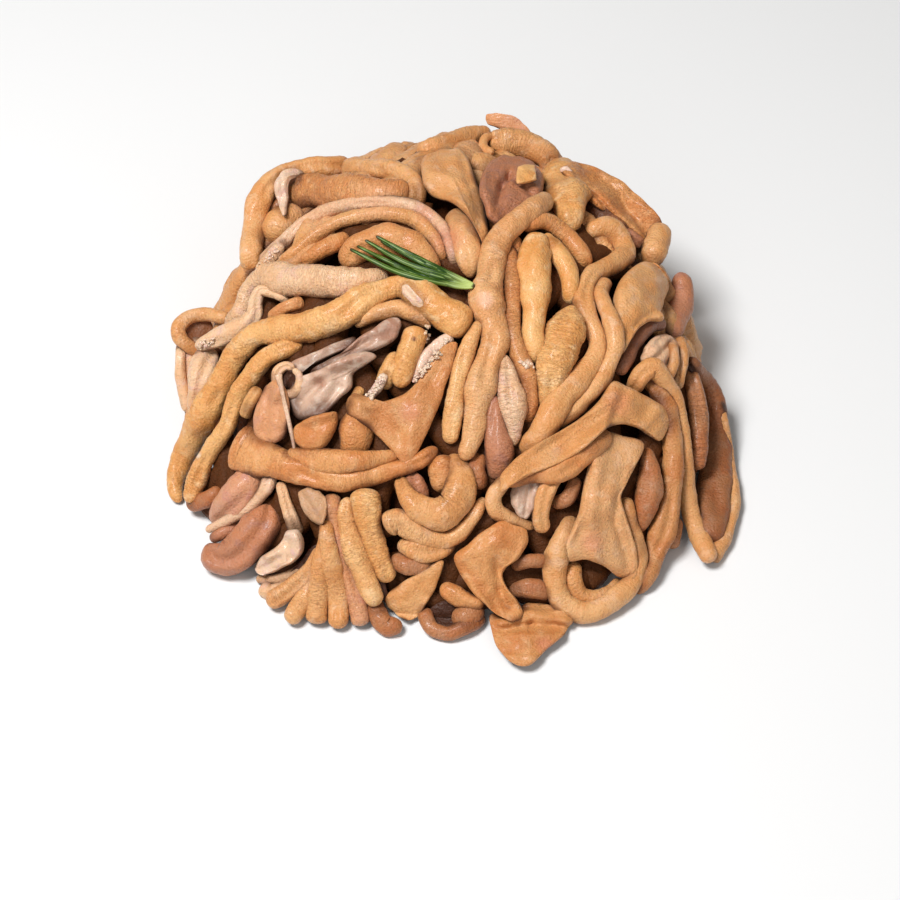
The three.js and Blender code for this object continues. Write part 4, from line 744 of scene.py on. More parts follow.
        grooves=(Groove((496, 631), (531, 624), 4, 2.2), Groove((531, 624), (568, 627), 4, 2.2),
        Groove((500, 620), (530, 610), 5, -1.4), Groove((534, 612), (566, 620), 4, -1.4))),
    # Brown walls of the hollow under the big fold, their darkness partly painted shade.
    Strand("hollow_wall_upper", Skin.BROWN, ((512, 566, 4), (530, 561, 5), (548, 562, 5))),
    Strand("hollow_wall_lower", Skin.BROWN, ((510, 592, 4), (528, 588, 5.5), (550, 592, 5))),
    Flap("big_fold", Skin.ORANGE, (486, 566), ((500, 521), (514, 525), (527, 531), (527, 543), (519, 558),
        (506, 568), (503, 578), (509, 590), (518, 601), (524, 614), (512, 622), (498, 615), (485, 604),
        (472, 592), (461, 575), (454, 558), (466, 545), (483, 531)), thickness=6.5, crease=0.35, rim=0.25,
        boxiness=2.8, grooves=(Groove((497, 560), (500, 590), 5, 1.6),
        Groove((500, 590), (508, 608), 4, 1.4), Groove((466, 556), (500, 538), 6, -0.7))),
)


@dataclass(frozen=True)
class SurfacePatch:
    """A patch of another colour on whatever strand shows at a place in the view."""

    across: float
    down: float
    radius: float
    colour: Colour
    strength: float = 0.6


PINK_BLUSH = srgb(205, 120, 95)
# Painted highlight: a pale patch for the light on the widest part of the main column.
PAINTED_HIGHLIGHT = srgb(235, 190, 165)
TAN_BLUSH = srgb(224, 168, 124)
PURPLE_DOT = srgb(95, 45, 45)
WHITE_FLECK = srgb(245, 225, 200)

SURFACE_PATCHES: tuple[SurfacePatch, ...] = (
    SurfacePatch(410, 412, 15, PINK_BLUSH, 0.4),
    SurfacePatch(618, 402, 18, PINK_BLUSH, 0.3),
    SurfacePatch(447, 240, 20, PINK_BLUSH, 0.5),
    SurfacePatch(425, 212, 14, PINK_BLUSH, 0.35),
    SurfacePatch(375, 204, 30, TAN_BLUSH, 0.45),
    SurfacePatch(315, 216, 26, TAN_BLUSH, 0.45),
    # Painted highlight on the widest part of the main column.
    SurfacePatch(485, 300, 11, PAINTED_HIGHLIGHT, 0.6),
    SurfacePatch(414, 339, 3.2, PURPLE_DOT, 0.9),
    SurfacePatch(592, 542, 15, PINK_BLUSH, 0.4),
    SurfacePatch(545, 645, 12, PINK_BLUSH, 0.4),
    SurfacePatch(560, 450, 8, PINK_BLUSH, 0.2),
    SurfacePatch(198, 455, 4, WHITE_FLECK, 0.8),
    SurfacePatch(528, 363, 5, WHITE_FLECK, 0.8),
    SurfacePatch(205, 345, 8, WHITE_FLECK, 0.7),
)


@dataclass
class Sample:
    """One place along a strand: where it would lie, and where it lies once it is seated."""

    base: Vector
    outward: Vector
    width: float
    thick: float
    center: Vector

    @property
    def radius(self) -> float:
        """Half of the thickness."""
        return self.thick / 2


@dataclass
class Bed:
    """What has been laid so far, and the rule by which the next strand is seated on it."""

    view: View
    mound: Mound
    thickness_ratio: float = 0.86
    stand_off: float = 0.55
    ground_gap: float = 0.9
    sample_step: float = 3.2
    leg_samples: int = 5
    smoothing_passes: int = 4
    easing_passes: int = 6
    dive_reach: float = 1.3
    dive_depth: float = 0.8
    laid: list[tuple[float, float, float, float]] = field(default_factory=list)
    owners: list[int] = field(default_factory=list)

    def view_samples(self, route: Sequence[Spot], limit: float) -> list[Sample]:
        """Samples of a strand whose route is given in the view.

        Args:
            route: The route's points as (across, down, width).
            limit: Most thickness that the strand may have.

        Returns:
            The samples, not yet seated.
        """
        samples = []
        legs = len(route) - 1
        for leg in range(legs):
            across = route[leg + 1][0] - route[leg][0]
            down = route[leg + 1][1] - route[leg][1]
            count = max(1, round(math.hypot(across, down) * self.view.unit / self.sample_step))
            for k in range(count + (1 if leg == legs - 1 else 0)):
                x, y, width = spline_point(route, leg + k / count)
                thick = min(width * self.thickness_ratio, limit)
                line = self.view.sight_line(x, y)
                base = self.mound.sight_hit(self.view, line, self.ground_gap * thick / 2)
                base -= line * (self.stand_off * thick / 2)
                samples.append(Sample(base, -line, width, thick, base))
        return samples

    def ease(self, samples: list[Sample]) -> None:
        """Even out how far away samples lie along their sight lines, so that a strand has no kinks.

        Args:
            samples: The samples of a route that is given in the view, not yet seated.
        """
        depths = [(sample.base - self.view.eye).length for sample in samples]
        for sample, depth, even in zip(samples, depths, evened(depths, self.easing_passes)):
            sample.base -= sample.outward * (even - depth)
            sample.base.z = max(sample.base.z, self.ground_gap * sample.radius)

    def mound_samples(self, route: Sequence[Spot], limit: float, sink: float) -> list[Sample]:
        """Samples of a strand whose route is given round the mound.

        Args:
            route: The route's points as (angle, slope, width), with both angles in degrees.
            limit: Most thickness that the strand may have.
            sink: How deep its middle line lies in the mound, as a share of its half thickness.

        Returns:
            The samples, not yet seated.
        """
        samples = []
        for k in range((len(route) - 1) * self.leg_samples + 1):
            angle, slope, width = spline_point(route, k / self.leg_samples)
            thick = min(width * self.thickness_ratio, limit)
            base = self.mound.point(math.radians(angle), math.radians(min(slope, 90)))
            outward = self.mound.normal(base)
            base -= outward * (sink * thick / 2)
            base.z = max(base.z, self.ground_gap * thick / 2)
            samples.append(Sample(base, outward, width, thick, base))
        return samples

    def seat(self, samples: list[Sample], squeeze: float) -> None:
        """Move samples outward until they clear what was laid before, and even the moves out.

        Args:
            samples: The strand's samples, which get their centers.
            squeeze: Least distance between middle lines, as a share of the two half thicknesses.
        """
        lifts = [self.lift(sample, squeeze, self.laid) for sample in samples]
        last = len(lifts) - 1
        highest = [max(lifts[max(i - 1, 0)], lifts[i], lifts[min(i + 1, last)]) for i in range(last + 1)]
        for sample, lift in zip(samples, evened(highest, self.smoothing_passes)):
            sample.center = sample.base + sample.outward * lift

    def lay(self, samples: list[Sample], owner: int) -> None:
        """Remember seated samples as something that later strands lie on.

        Args:
            samples: The samples.
            owner: Number of the strand that they belong to.
        """
        self.laid.extend((*sample.center, sample.radius) for sample in samples)
        self.owners.extend([owner] * len(samples))

    def bury_ends(self, samples: list[Sample], first: bool, last: bool) -> None:
        """Let a strand's ends dive under its neighbours, as they go on inside the heap.

        Args:
            samples: The seated samples.
            first: Whether the first end dives.
            last: Whether the last end dives.
        """
        for dives, row in ((first, samples), (last, samples[::-1])):
            away = 0.0
            before = row[0].center.copy()
            for sample in row if dives else ():
                away += (sample.center - before).length
                before = sample.center.copy()
                reach = self.dive_reach * sample.width
                if away > reach:
                    break
                share = 1 - away / reach
                sample.center -= sample.outward * (self.dive_depth * sample.thick * share * share)
                sample.center.z = max(sample.center.z, self.ground_gap * sample.radius)

    def lift(self, sample: Sample, squeeze: float, laid: list[tuple[float, float, float, float]]) -> float:
        """Least outward move that brings one sample clear of what was laid before.

        Args:
            sample: The sample.
            squeeze: Least distance between middle lines, as a share of the two half thicknesses.
            laid: What it has to clear.

        Returns:
            The move in millimetres.
        """
        lift = 0.0
        bx, by, bz = sample.base
        ox, oy, oz = sample.outward
        radius = sample.radius
        for cx, cy, cz, other in laid:
            ax = bx - cx
            ay = by - cy
            az = bz - cz
            gap = squeeze * (radius + other)
            along = ax * ox + ay * oy + az * oz
            inside = along * along - ax * ax - ay * ay - az * az + gap * gap
            if inside > 0:
                lift = max(lift, math.sqrt(inside) - along)
        return lift


@dataclass
class Ring:
    """One ring of a tube: its place, its two half axes' directions and its size."""

    center: Vector
    sideways: Vector
    upward: Vector
    bend: Vector
    width: float
    thick: float
    along: float
    share: float


@dataclass
class Tube:
    """A closed soft tube through seated samples.

    Each noise along it is given as the length over which it changes and the row in which it is read.
    """

    samples: list[Sample]
    form: Form = Form.ROLL
    crease: float = 0.5
    sides: int = 26
    step: float = 0.75
    lump: float = 0.16
    gather: float = 0.22
    fold_share: float = 0.05
    most_dent: float = 0.35
    # Least painted shade of the tube.
    depth: float = 0.0
    seed: float = 0.0
    end_rings: int = 5
    end_reach: float = 0.9
    tangent_reach: float = 0.4
    least_length: float = 1e-6
    least_upright: float = 0.25
    gather_noise: Pair = (11, 3)
    dent_wander: float = 0.6
    dent_wander_noise: Pair = (25, 5)
    dent_swing: float = 0.9
    dent_swing_noise: Pair = (16, 9)
    dent_width: float = 0.32
    fold_wander: float = 0.3
    fold_wander_noise: Pair = (22, 0)
    fold_depth: float = 0.4
    fold_width: float = 0.3
    rib_depth: float = 0.45
    rib_width: float = 0.28

    def noise_along(self, along: float, length: float, row: float) -> float:
        """Noise from -1 to 1 at a distance along the tube."""
        return noise.noise(Vector((along / length, self.seed, row)))

    def stations(self, total: float) -> list[Pair]:
        """Where the rings lie, close together where the ends round off.

        Args:
            total: Length of the tube.

        Returns:
            The rings' distances along the tube, each with the share of the full size that it has.
        """
        cap = min(self.end_reach * self.samples[(len(self.samples) - 1) // 2].thick / 2, total / 3)
        steps = max(1, round((total - 2 * cap) / self.step))
        turns = [math.pi / 2 * k / self.end_rings for k in range(self.end_rings)]
        first = [(cap * (1 - math.cos(turn)), math.sin(turn)) for turn in turns]
        middle = [(cap + (total - 2 * cap) * k / steps, 1.0) for k in range(steps + 1)]
        last = [(total - cap * (1 - math.cos(turn)), math.sin(turn)) for turn in reversed(turns)]
        return first + middle + last

    def rings(self) -> list[Ring]:
        """Rings of the tube from tip to tip.

        Returns:
            The rings.
        """
        centers = [sample.center for sample in self.samples]
        last = len(centers) - 1
        lengths = [0.0]
        for before, after in zip(centers, centers[1:]):
            lengths.append(lengths[-1] + (after - before).length)
        total = lengths[-1]
        rings = []
        upward = self.samples[0].outward
        leg = 0
        for along, swell in self.stations(total):
            while leg < last - 1 and lengths[leg + 1] < along:
                leg += 1
            span = max(lengths[leg + 1] - lengths[leg], self.least_length)
            place = leg + clamp((along - lengths[leg]) / span, 0, 1)
            center = spline(centers, place)
            before = spline(centers, max(place - self.tangent_reach, 0))
            after = spline(centers, min(place + self.tangent_reach, last))
            tangent = (after - before).normalized()
            reach = max((after - before).length / 2, self.least_length)
            bend = (after + before - 2 * center) / (reach * reach)
            low = self.samples[int(place)]
            high = self.samples[min(int(place) + 1, last)]
            mix = place - int(place)
            outward = low.outward.lerp(high.outward, mix)
            flat = outward - tangent * outward.dot(tangent)
            if flat.length > self.least_upright:
                upward = flat.normalized()
            else:
                upward = (upward - tangent * upward.dot(tangent)).normalized()
            swell *= 1 + self.gather * self.noise_along(along, *self.gather_noise)
            rings.append(
                Ring(
                    center=center,
                    sideways=tangent.cross(upward).normalized(),
                    upward=upward,
                    bend=bend,
                    width=swell * (low.width * (1 - mix) + high.width * mix),
                    thick=swell * (low.thick * (1 - mix) + high.thick * mix),
                    along=along,
                    share=along / total,
                )
            )
        return rings

    def section(self, around: float, along: float) -> Pair:
        """Point of the cross-section, in half widths and half thicknesses.

        Args:
            around: Angle round the tube, in radians.
            along: Distance along the tube.

        Returns:
            How far the point lies sideways and upward.
        """
        x = math.cos(around)
        y = math.sin(around)
        if y <= 0:
            return x, y
        if self.form is Form.ROLL:
            middle = self.dent_wander * self.noise_along(along, *self.dent_wander_noise)
            swing = self.dent_swing * self.noise_along(along, *self.dent_swing_noise)
            depth = clamp(swing, 0, self.most_dent)
            width = self.dent_width
        elif self.form is Form.FOLD:
            middle = self.fold_wander * self.noise_along(along, *self.fold_wander_noise)
            depth = self.fold_depth
            width = self.fold_width
        else:
            middle = 0.0
            depth = self.rib_depth
            width = self.rib_width
        return x, y * (1 - depth * math.exp(-(((x - middle) / width) ** 2)))


@dataclass(frozen=True)
class Make:
    """How fine a kind of tube is made, and where its seeds start."""

    crease: float
    sides: int
    step: float
    first_seed: float

    def tube(self, samples: list[Sample], number: int, depth: float = 0.0) -> Tube:
        """Tube of this make.

        Args:
            samples: Its seated samples.
            number: Its number among its kind.
            depth: Its least painted shade.

        Returns:
            The tube.
        """
        seed = number + self.first_seed
        return Tube(samples, crease=self.crease, sides=self.sides, step=self.step, depth=depth, seed=seed)


@dataclass
class Drape:
    """A flap's grid of samples: rings round its middle, which drape over what lies below."""

    flap: Flap
    bed: Bed
    sectors: int = 84
    rings: int = 24
    margin: float = 16.0
    refinements: int = 5
    smoothing_passes: int = 26
    wobble: float = 0.05
    wobble_turn: float = 3.0
    wobble_row: float = 1.7
    landing: float = 5.0
    rim_place: float = 0.88
    rim_width: float = 0.1
    laid_rings: int = 20
    laid_ring_step: int = 5
    laid_sector_step: int = 6
    grid: list[list[Sample]] = field(default_factory=list)

    def lay(self, owner: int) -> None:
        """Seat the flap and remember it.

        Args:
            owner: Number of the flap.
        """
        bed = self.bed
        radius = self.flap.thickness / 2
        middle = self.flap.middle
        for ring in range(self.rings + 1):
            row = []
            for sector in range(self.sectors):
                edge = self.flap.edge(sector / self.sectors * len(self.flap.outline))
                share = self.share(ring) * self.stretch(sector, owner)
                across, down = (m + (e - m) * share for m, e in zip(middle, edge))
                line = bed.view.sight_line(across, down)
                base = bed.mound.sight_hit(bed.view, line, radius, self.refinements)
                clear = clamp((base.z - radius) / self.landing, 0, 1)
                base -= line * (bed.stand_off * radius * clear)
                row.append(Sample(base, -line, 2 * radius, 2 * radius, base))
            self.grid.append(row)
        heart = self.grid[0][0].base
        reach = self.margin + max((sample.base - heart).length for sample in self.grid[-1])
        near = [entry for entry in bed.laid if (Vector(entry[:3]) - heart).length < reach]
        lifts = [[bed.lift(sample, self.flap.squeeze, near) for sample in row] for row in self.grid]
        for _ in range(self.smoothing_passes):
            lifts = self._smooth(lifts)
        for row, moves in zip(self.grid, lifts):
            for sample, move in zip(row, moves):
                sample.center = sample.base + sample.outward * move
                sample.outward = (sample.outward + bed.mound.normal(sample.base)).normalized()
        for row in self.grid[: self.laid_rings : self.laid_ring_step]:
            bed.lay(row[:: self.laid_sector_step], owner)

    def stretch(self, sector: int, owner: int) -> float:
        """Factor by which the outline lies further out or in.

        Args:
            sector: Number of the sector round the middle.
            owner: Number of the flap.

        Returns:
            The factor, near 1.
        """
        turn = 2 * math.pi * sector / self.sectors
        x = self.wobble_turn * math.cos(turn)
        y = self.wobble_turn * math.sin(turn)
        return 1 + self.wobble * noise.noise(Vector((x, y, owner * self.wobble_row)))

    def share(self, ring: int) -> float:
        """Share of the way from the middle to the outline at which a ring lies."""
        return math.sin(math.pi / 2 * ring / self.rings)

    def rise(self, ring: int) -> float:
        """Height of the surface, with a rolled rim.

        Args:
            ring: Number of the ring, from 0 in the middle.

        Returns:
            The height in half thicknesses.
        """
        share = self.share(ring)
        rim = 1 + self.flap.rim * math.exp(-(((share - self.rim_place) / self.rim_width) ** 2))
        return math.sqrt(max(1 - share**self.flap.boxiness, 0)) * rim

    def _smooth(self, lifts: list[list[float]]) -> list[list[float]]:
        """Even moves out over the grid.

        Args:
            lifts: The moves, ring by ring.

        Returns:
            The evened moves.
        """
        middle = sum(lifts[1]) / self.sectors
        made = [[middle] * self.sectors]
        for ring in range(1, self.rings + 1):
            inner = lifts[ring - 1]
            row = lifts[ring]
            outer = lifts[min(ring + 1, self.rings)]
            made.append(
                [
                    (2 * row[k] + inner[k] + outer[k] + row[k - 1] + row[(k + 1) % self.sectors]) / 6
                    for k in range(self.sectors)
                ]
            )
        return made


@dataclass
class Shade:
    """Painted shade where strands lie against each other: the gut is painted darker near its neighbours.

    The darkening ends at a reach from a neighbour's surface, or at a ratio of a small one's half thickness.
    """

    bed: Bed
    reach: float = 4.2
    reach_ratio: float = 1.1
    facing_share: float = 0.6
    above_share: float = 0.3
    tree: KDTree = field(init=False)

    def __post_init__(self) -> None:
        """Index everything that was laid."""
        self.tree = KDTree(len(self.bed.laid))
        for number, entry in enumerate(self.bed.laid):
            self.tree.insert(entry[:3], number)
        self.tree.balance()

    def at(self, point: Vector, outward: Vector, owner: int, facing: float, crowd: int) -> float:
        """Painted shade from 0 to 1 at a point of a strand.

        Args:
            point: The point.
            outward: Direction away from the heap.
            owner: Number of the strand.
            facing: How much the surface faces outward there, from 0 to 1.
            crowd: How many of the nearest samples are looked at.

        Returns:
            The darkness.
        """
        dark = 0.0
        for center, number, away in self.tree.find_n(point, crowd):
            if self.bed.owners[number] == owner:
                continue
            radius = self.bed.laid[number][3]
            above = (point - center).dot(outward)
            gap = away - radius + max(above - self.above_share * radius, 0)
            dark = max(dark, 1 - gap / min(self.reach, self.reach_ratio * radius))
        return min(dark, 1) * (1 - self.facing_share * facing)


class SoftMesh:
    """A mesh under construction: closed soft bodies with the attributes that their finish reads."""

    most_bend = 0.75
    wave_length = 9.0
    ripple_length = 3.6
    ripple_share = 0.5
    tube_crowd = 16
    flap_crowd = 36
    shift_steps = (31.7, 17.3, 23.9)
    fold_across = 0.14
    fold_along = 0.8
    ridge_steepness = 3
    crease_sway = 0.7
    bend_crease = 0.5
    facing_power = 0.5
    under_darkness = 1.3
    under_start = 0.1
    flap_grain = 2.6
    patch_slope = 1.5
    ball_lump = 0.9
    ball_lumps = 1.2
    ball_height = 0.7
    ball_steps = (1, 2, 3)
    no_patch = (0.0, 0.0, 0.0, 0.0)

    def __init__(self, name: str, shade: Shade) -> None:
        """Start an empty mesh.

        Args:
            name: Name of the piece.
            shade: Painted shade that neighbours give.
        """
        self.name = name
        self.shade = shade
        self.mesh = bpy.data.meshes.new(name)
        self.parts: list[bpy.types.Mesh] = []
        self.start_part()

    def start_part(self) -> None:
        """Start the next body, in a small mesh of its own, as work on a large one is slow."""
        self.bm = bmesh.new()
        layers = self.bm.verts.layers
        self.grain = layers.float_vector.new("grain")
        self.crease = layers.float.new("crease")
        self.tint = layers.float.new("tint")
        # depth carries painted shade, from 0 for none to 1 for the darkest.
        self.depth = layers.float.new("depth")
        # The next attribute carries the coloured patches, one of them a painted highlight.
        self.surface_patch = layers.float_color.new("surface_patch")

    def finish_part(self) -> None:
        """Put the body by and start the next one."""
        part = bpy.data.meshes.new(self.name)
        self.bm.to_mesh(part)
        self.bm.free()
        self.parts.append(part)
        self.start_part()

    def add_tube(self, tube: Tube, owner: int) -> None:
        """Add a ball that is drawn out along a tube's rings.

        Args:
            tube: The tube.
            owner: Number of the strand.
        """
        rings = tube.rings()
        last = len(rings) - 1
        made = bmesh.ops.create_uvsphere(self.bm, u_segments=tube.sides, v_segments=last, radius=1.0)
        shift = Vector([tube.seed * step for step in self.shift_steps])
        patches = [self._patches_near(ring) for ring in rings]
        tint = noise.noise(shift)
        for vert in made["verts"]:
            turn = math.acos(clamp(vert.co.z, -1, 1)) / math.pi
            index = round(turn * last)
            ring = rings[index]
            around = math.atan2(vert.co.y, vert.co.x)
            x, y = tube.section(around, ring.along)
            offset = ring.sideways * (x * ring.width / 2) + ring.upward * (y * ring.thick / 2)
            wave, lumps = self._lumps(ring.center + offset + shift)
            fold_x = x * ring.width * self.fold_across
            fold_y = y * ring.thick * self.fold_across
            folds = noise.noise(Vector((fold_x, fold_y, ring.along * self.fold_along)) + shift)
            ridge = 1 - self.ridge_steepness * abs(folds)
            crease = clamp(tube.crease * (1 + self.crease_sway * wave), 0, 1)
            offset *= 1 + tube.lump * lumps + tube.fold_share * crease * ridge
            tight = offset.dot(ring.bend)
            if tight > self.most_bend:
                offset *= self.most_bend / tight
            vert.co = ring.center + offset
            vert[self.grain] = Vector((x * ring.width / 2, y * ring.thick / 2, ring.along)) + shift
            vert[self.crease] = clamp(crease + self.bend_crease * clamp(tight, 0, 1), 0, 1)
            vert[self.tint] = tint
            if tube.form is Form.LEAF:
                vert[self.crease] = 1 - abs(x)
                vert[self.tint] = ring.share
            # Painted shade: darker close to neighbours and on the underside of the tube.
            facing = max(y, 0) ** self.facing_power
            contact_shade = self.shade.at(vert.co, ring.upward, owner, facing, self.tube_crowd)
            under = -self.under_darkness * y - self.under_start
            vert[self.depth] = clamp(tube.depth + max(contact_shade, under), 0, 1)
            vert[self.surface_patch] = self._patch_at(vert.co, patches[index])
        self.finish_part()

    def add_flap(self, drape: Drape, owner: int, lump: float) -> None:
        """Add a ball that is flattened into a laid flap.

        Args:
            drape: The laid flap.
            owner: Number of the flap.
            lump: Unevenness in millimetres.
        """
        flap = drape.flap
        made = bmesh.ops.create_uvsphere(
            self.bm, u_segments=drape.sectors, v_segments=2 * drape.rings, radius=1.0
        )
        shift = Vector([owner * step for step in self.shift_steps])
        tint = noise.noise(shift)
        for vert in made["verts"]:
            index = round(math.acos(clamp(vert.co.z, -1, 1)) / math.pi * 2 * drape.rings)
            side = 1 if index <= drape.rings else -1
            ring = min(index, 2 * drape.rings - index)
            sector = round(math.atan2(vert.co.y, vert.co.x) / (2 * math.pi) * drape.sectors)
            sample = drape.grid[ring][sector % drape.sectors]
            across, down = VIEW.seen_at(sample.center)
            height = side * drape.rise(ring) * flap.thickness / 2
            height -= sum(groove.depth_at(across, down) for groove in flap.grooves)
            wave, lumps = self._lumps(sample.center + shift)
            height += lump * lumps
            vert.co = sample.center + sample.outward * height
            unit = VIEW.unit
            vert[self.grain] = Vector((self.flap_grain * across * unit, height, down * unit)) + shift
            vert[self.crease] = clamp(flap.crease * (1 + self.crease_sway * wave), 0, 1)
            vert[self.tint] = tint
            # Painted shade: darker close to neighbours, and all dark on the flap's underside.
            facing = min(drape.rise(ring), 1)
            contact_shade = self.shade.at(vert.co, sample.outward, owner, facing, self.flap_crowd)
            vert[self.depth] = max(flap.depth, contact_shade) if side > 0 else 1.0
            vert[self.surface_patch] = self._patch_at(vert.co, SURFACE_PATCHES)
        self.finish_part()

    def add_ball(self, center: Vector, radius: float, seed: float) -> None:
        """Add one uneven crumb.

        Args:
            center: Its middle.
            radius: Its radius.
            seed: Number that sets its unevenness.
        """
        made = bmesh.ops.create_icosphere(self.bm, subdivisions=2, radius=radius)
        shift = Vector([step * seed for step in self.ball_steps])
        for vert in made["verts"]:
            lump = 1 + self.ball_lump * noise.noise(vert.co / radius * self.ball_lumps + shift)
            vert.co = center + Vector((vert.co.x, vert.co.y, self.ball_height * vert.co.z)) * lump
            vert[self.grain] = vert.co + shift
            vert[self.surface_patch] = self.no_patch
        self.finish_part()

    def build(self, material: bpy.types.Material) -> bpy.types.Object:
        """Turn the mesh into a smooth object at the origin.

        Args:
            material: Its material.

        Returns:
            The object.
        """
        for part in self.parts:
            self.bm.from_mesh(part)
            bpy.data.meshes.remove(part)
        for vert in self.bm.verts:
            vert.co.z = max(vert.co.z, 0)
        bmesh.ops.scale(self.bm, vec=(METRES,) * 3, verts=self.bm.verts)
        bmesh.ops.recalc_face_normals(self.bm, faces=self.bm.faces)
        for face in self.bm.faces:
            face.smooth = True
        self.bm.to_mesh(self.mesh)
        self.bm.free()
        self.mesh.materials.append(material)
        piece = bpy.data.objects.new(self.name, self.mesh)
        bpy.context.scene.collection.objects.link(piece)
        return piece

    def _lumps(self, place: Vector) -> Pair:
        """Unevenness at a place: the long waves alone, and with the short ripples on them.

        Args:
            place: The place, moved by the body's own shift.

        Returns:
            The two values, about -1 to 1.
        """
        wave = noise.noise(place / self.wave_length)
        return wave, wave + self.ripple_share * noise.noise(place / self.ripple_length)

    @staticmethod
    def _patches_near(ring: Ring) -> list[SurfacePatch]:
        """Patches that may reach a ring.

        Args:
            ring: The ring.

        Returns:
            The patches.
        """
        across, down = VIEW.seen_at(ring.center)
        reach = ring.width / VIEW.unit
        return [s for s in SURFACE_PATCHES if math.hypot(s.across - across, s.down - down) < s.radius + reach]

    def _patch_at(self, point: Vector, patches: Sequence[SurfacePatch]) -> tuple[float, float, float, float]:
        """Strongest patch at a point.

        Args:
            point: The point.
            patches: Patches that may reach it.

        Returns:
            The patch's colour and its strength there.
        """
        across, down = VIEW.seen_at(point)
        best = self.no_patch
        for surface_patch in patches:
            away = math.hypot(surface_patch.across - across, surface_patch.down - down) / surface_patch.radius
            strength = surface_patch.strength * clamp(self.patch_slope * (1 - away), 0, 1)
            if strength > best[3]:
                best = (*surface_patch.colour, strength)
        return best


@dataclass(frozen=True)
class Pattern:
    """A noise: its lumps to a unit, its detail and warp, and the stretch of the vector that it reads."""

    scale: float = 1.0
    detail: float = 2.0
    warp: float = 0.0
    stretch: Triple | None = None


class Field:
    """A shader socket that takes part in Python arithmetic."""

    def __init__(self, graph: "Graph", socket: bpy.types.NodeSocket) -> None:
        """Wrap a socket.

        Args:
            graph: Graph that the socket belongs to.
            socket: The output socket.
        """
        self.graph = graph
        self.socket = socket

    def _math(self, operation: str, *values: Any) -> "Field":
        """Result of a Math node on some values."""
        inputs = dict(enumerate(values))
        return self.graph.node("ShaderNodeMath", inputs, operation=operation).out(0)

    def __add__(self, other: Any) -> "Field":
        """Sum."""
        return self._math("ADD", self, other)

    def __radd__(self, other: Any) -> "Field":
        """Sum."""
        return self._math("ADD", other, self)

    def __sub__(self, other: Any) -> "Field":
        """Difference."""
        return self._math("SUBTRACT", self, other)

    def __rsub__(self, other: Any) -> "Field":
        """Difference from a number."""
        return self._math("SUBTRACT", other, self)

    def __mul__(self, other: Any) -> "Field":
        """Product."""
        return self._math("MULTIPLY", self, other)

    def __rmul__(self, other: Any) -> "Field":
        """Product."""
        return self._math("MULTIPLY", other, self)

    def __abs__(self) -> "Field":
        """Size without sign."""
        return self._math("ABSOLUTE", self)

    def smooth(self, low: float, high: float) -> "Field":
        """Rise smoothly from 0 at one value to 1 at another."""
        inputs = {"Value": self, "From Min": low, "From Max": high}
        return self.graph.node("ShaderNodeMapRange", inputs, interpolation_type="SMOOTHSTEP").out("Result")


class GraphNode:
    """A node of a graph, whose outputs are read as fields."""

    def __init__(self, graph: "Graph", made: bpy.types.Node) -> None:
        """Wrap a node.

        Args:
            graph: Graph that the node belongs to.
            made: The node.
        """
        self.graph = graph
        self.made = made

    def out(self, key: int | str) -> Field:
        """One of the node's outputs."""
        return Field(self.graph, self.made.outputs[key])


class Graph:
    """The nodes of one material."""

    def __init__(self, name: str) -> None:
        """Start a material with no nodes.

        Args:
            name: Name of the material.
        """
        self.material = bpy.data.materials.new(name)
        self.material.use_nodes = True
        self.tree = self.material.node_tree
        self.tree.nodes.clear()

    def node(self, kind: str, inputs: dict[int | str, Any] | None = None, **settings: Any) -> GraphNode:
        """Add a node.

        Args:
            kind: Type of the node.
            inputs: Values or fields of its input sockets, by name or number.
            **settings: Properties of the node, which are set first.

        Returns:
            The node.
        """
        made = self.tree.nodes.new(kind)
        for key, value in settings.items():
            setattr(made, key, value)
        for key, value in (inputs or {}).items():
            if isinstance(value, Field):
                self.tree.links.new(value.socket, made.inputs[key])
            else:
                made.inputs[key].default_value = value
        return GraphNode(self, made)

    def place_mm(self) -> Field:
        """Place on the object, in millimetres."""
        place = self.node("ShaderNodeTexCoord").out("Object")
        return self.scaled(place, (1 / METRES,) * 3)

    def scaled(self, vector: Field, factors: Triple) -> Field:
        """Vector stretched along each axis."""
        return self.node("ShaderNodeVectorMath", {0: vector, 1: factors}, operation="MULTIPLY").out(0)

    def attribute(self, name: str) -> GraphNode:
        """Attribute that the mesh carries."""
        return self.node("ShaderNodeAttribute", attribute_name=name)

    def noise(self, vector: Field, pattern: Pattern) -> Field:
        """Noise from 0 to 1.

        Args:
            vector: What the noise is read on.
            pattern: Its pattern.

        Returns:
            The noise.
        """
        if pattern.stretch:
            vector = self.scaled(vector, pattern.stretch)
        looks = {"Scale": pattern.scale, "Detail": pattern.detail, "Distortion": pattern.warp}
        return self.node("ShaderNodeTexNoise", {"Vector": vector, **looks}).out("Fac")

    def mix(self, share: Any, first: Any, second: Any, blend: str = "MIX") -> Field:
        """Mix of two colours."""
        inputs = {0: share, 6: self._rgba(first), 7: self._rgba(second)}
        return self.node("ShaderNodeMix", inputs, data_type="RGBA", blend_type=blend).out(2)

    def bump(self, height_mm: Field) -> Field:
        """Normal that a relief in millimetres gives."""
        return self.node("ShaderNodeBump", {"Height": height_mm, "Distance": METRES}).out("Normal")

    def surface(self, inputs: dict[int | str, Any]) -> bpy.types.Material:
        """Finish the material with a Principled shader.

        Args:
            inputs: Values or fields of the shader's sockets.

        Returns:
            The material.
        """
        shader = self.node("ShaderNodeBsdfPrincipled", inputs)
        self.node("ShaderNodeOutputMaterial", {"Surface": shader.out("BSDF")})
        return self.material

    @staticmethod
    def _rgba(colour: Any) -> Any:
        """Colour with full alpha, or the field as it is."""
        return colour if isinstance(colour, Field) else (*colour, 1.0)


DEEP_SHADE = srgb(38, 16, 7)


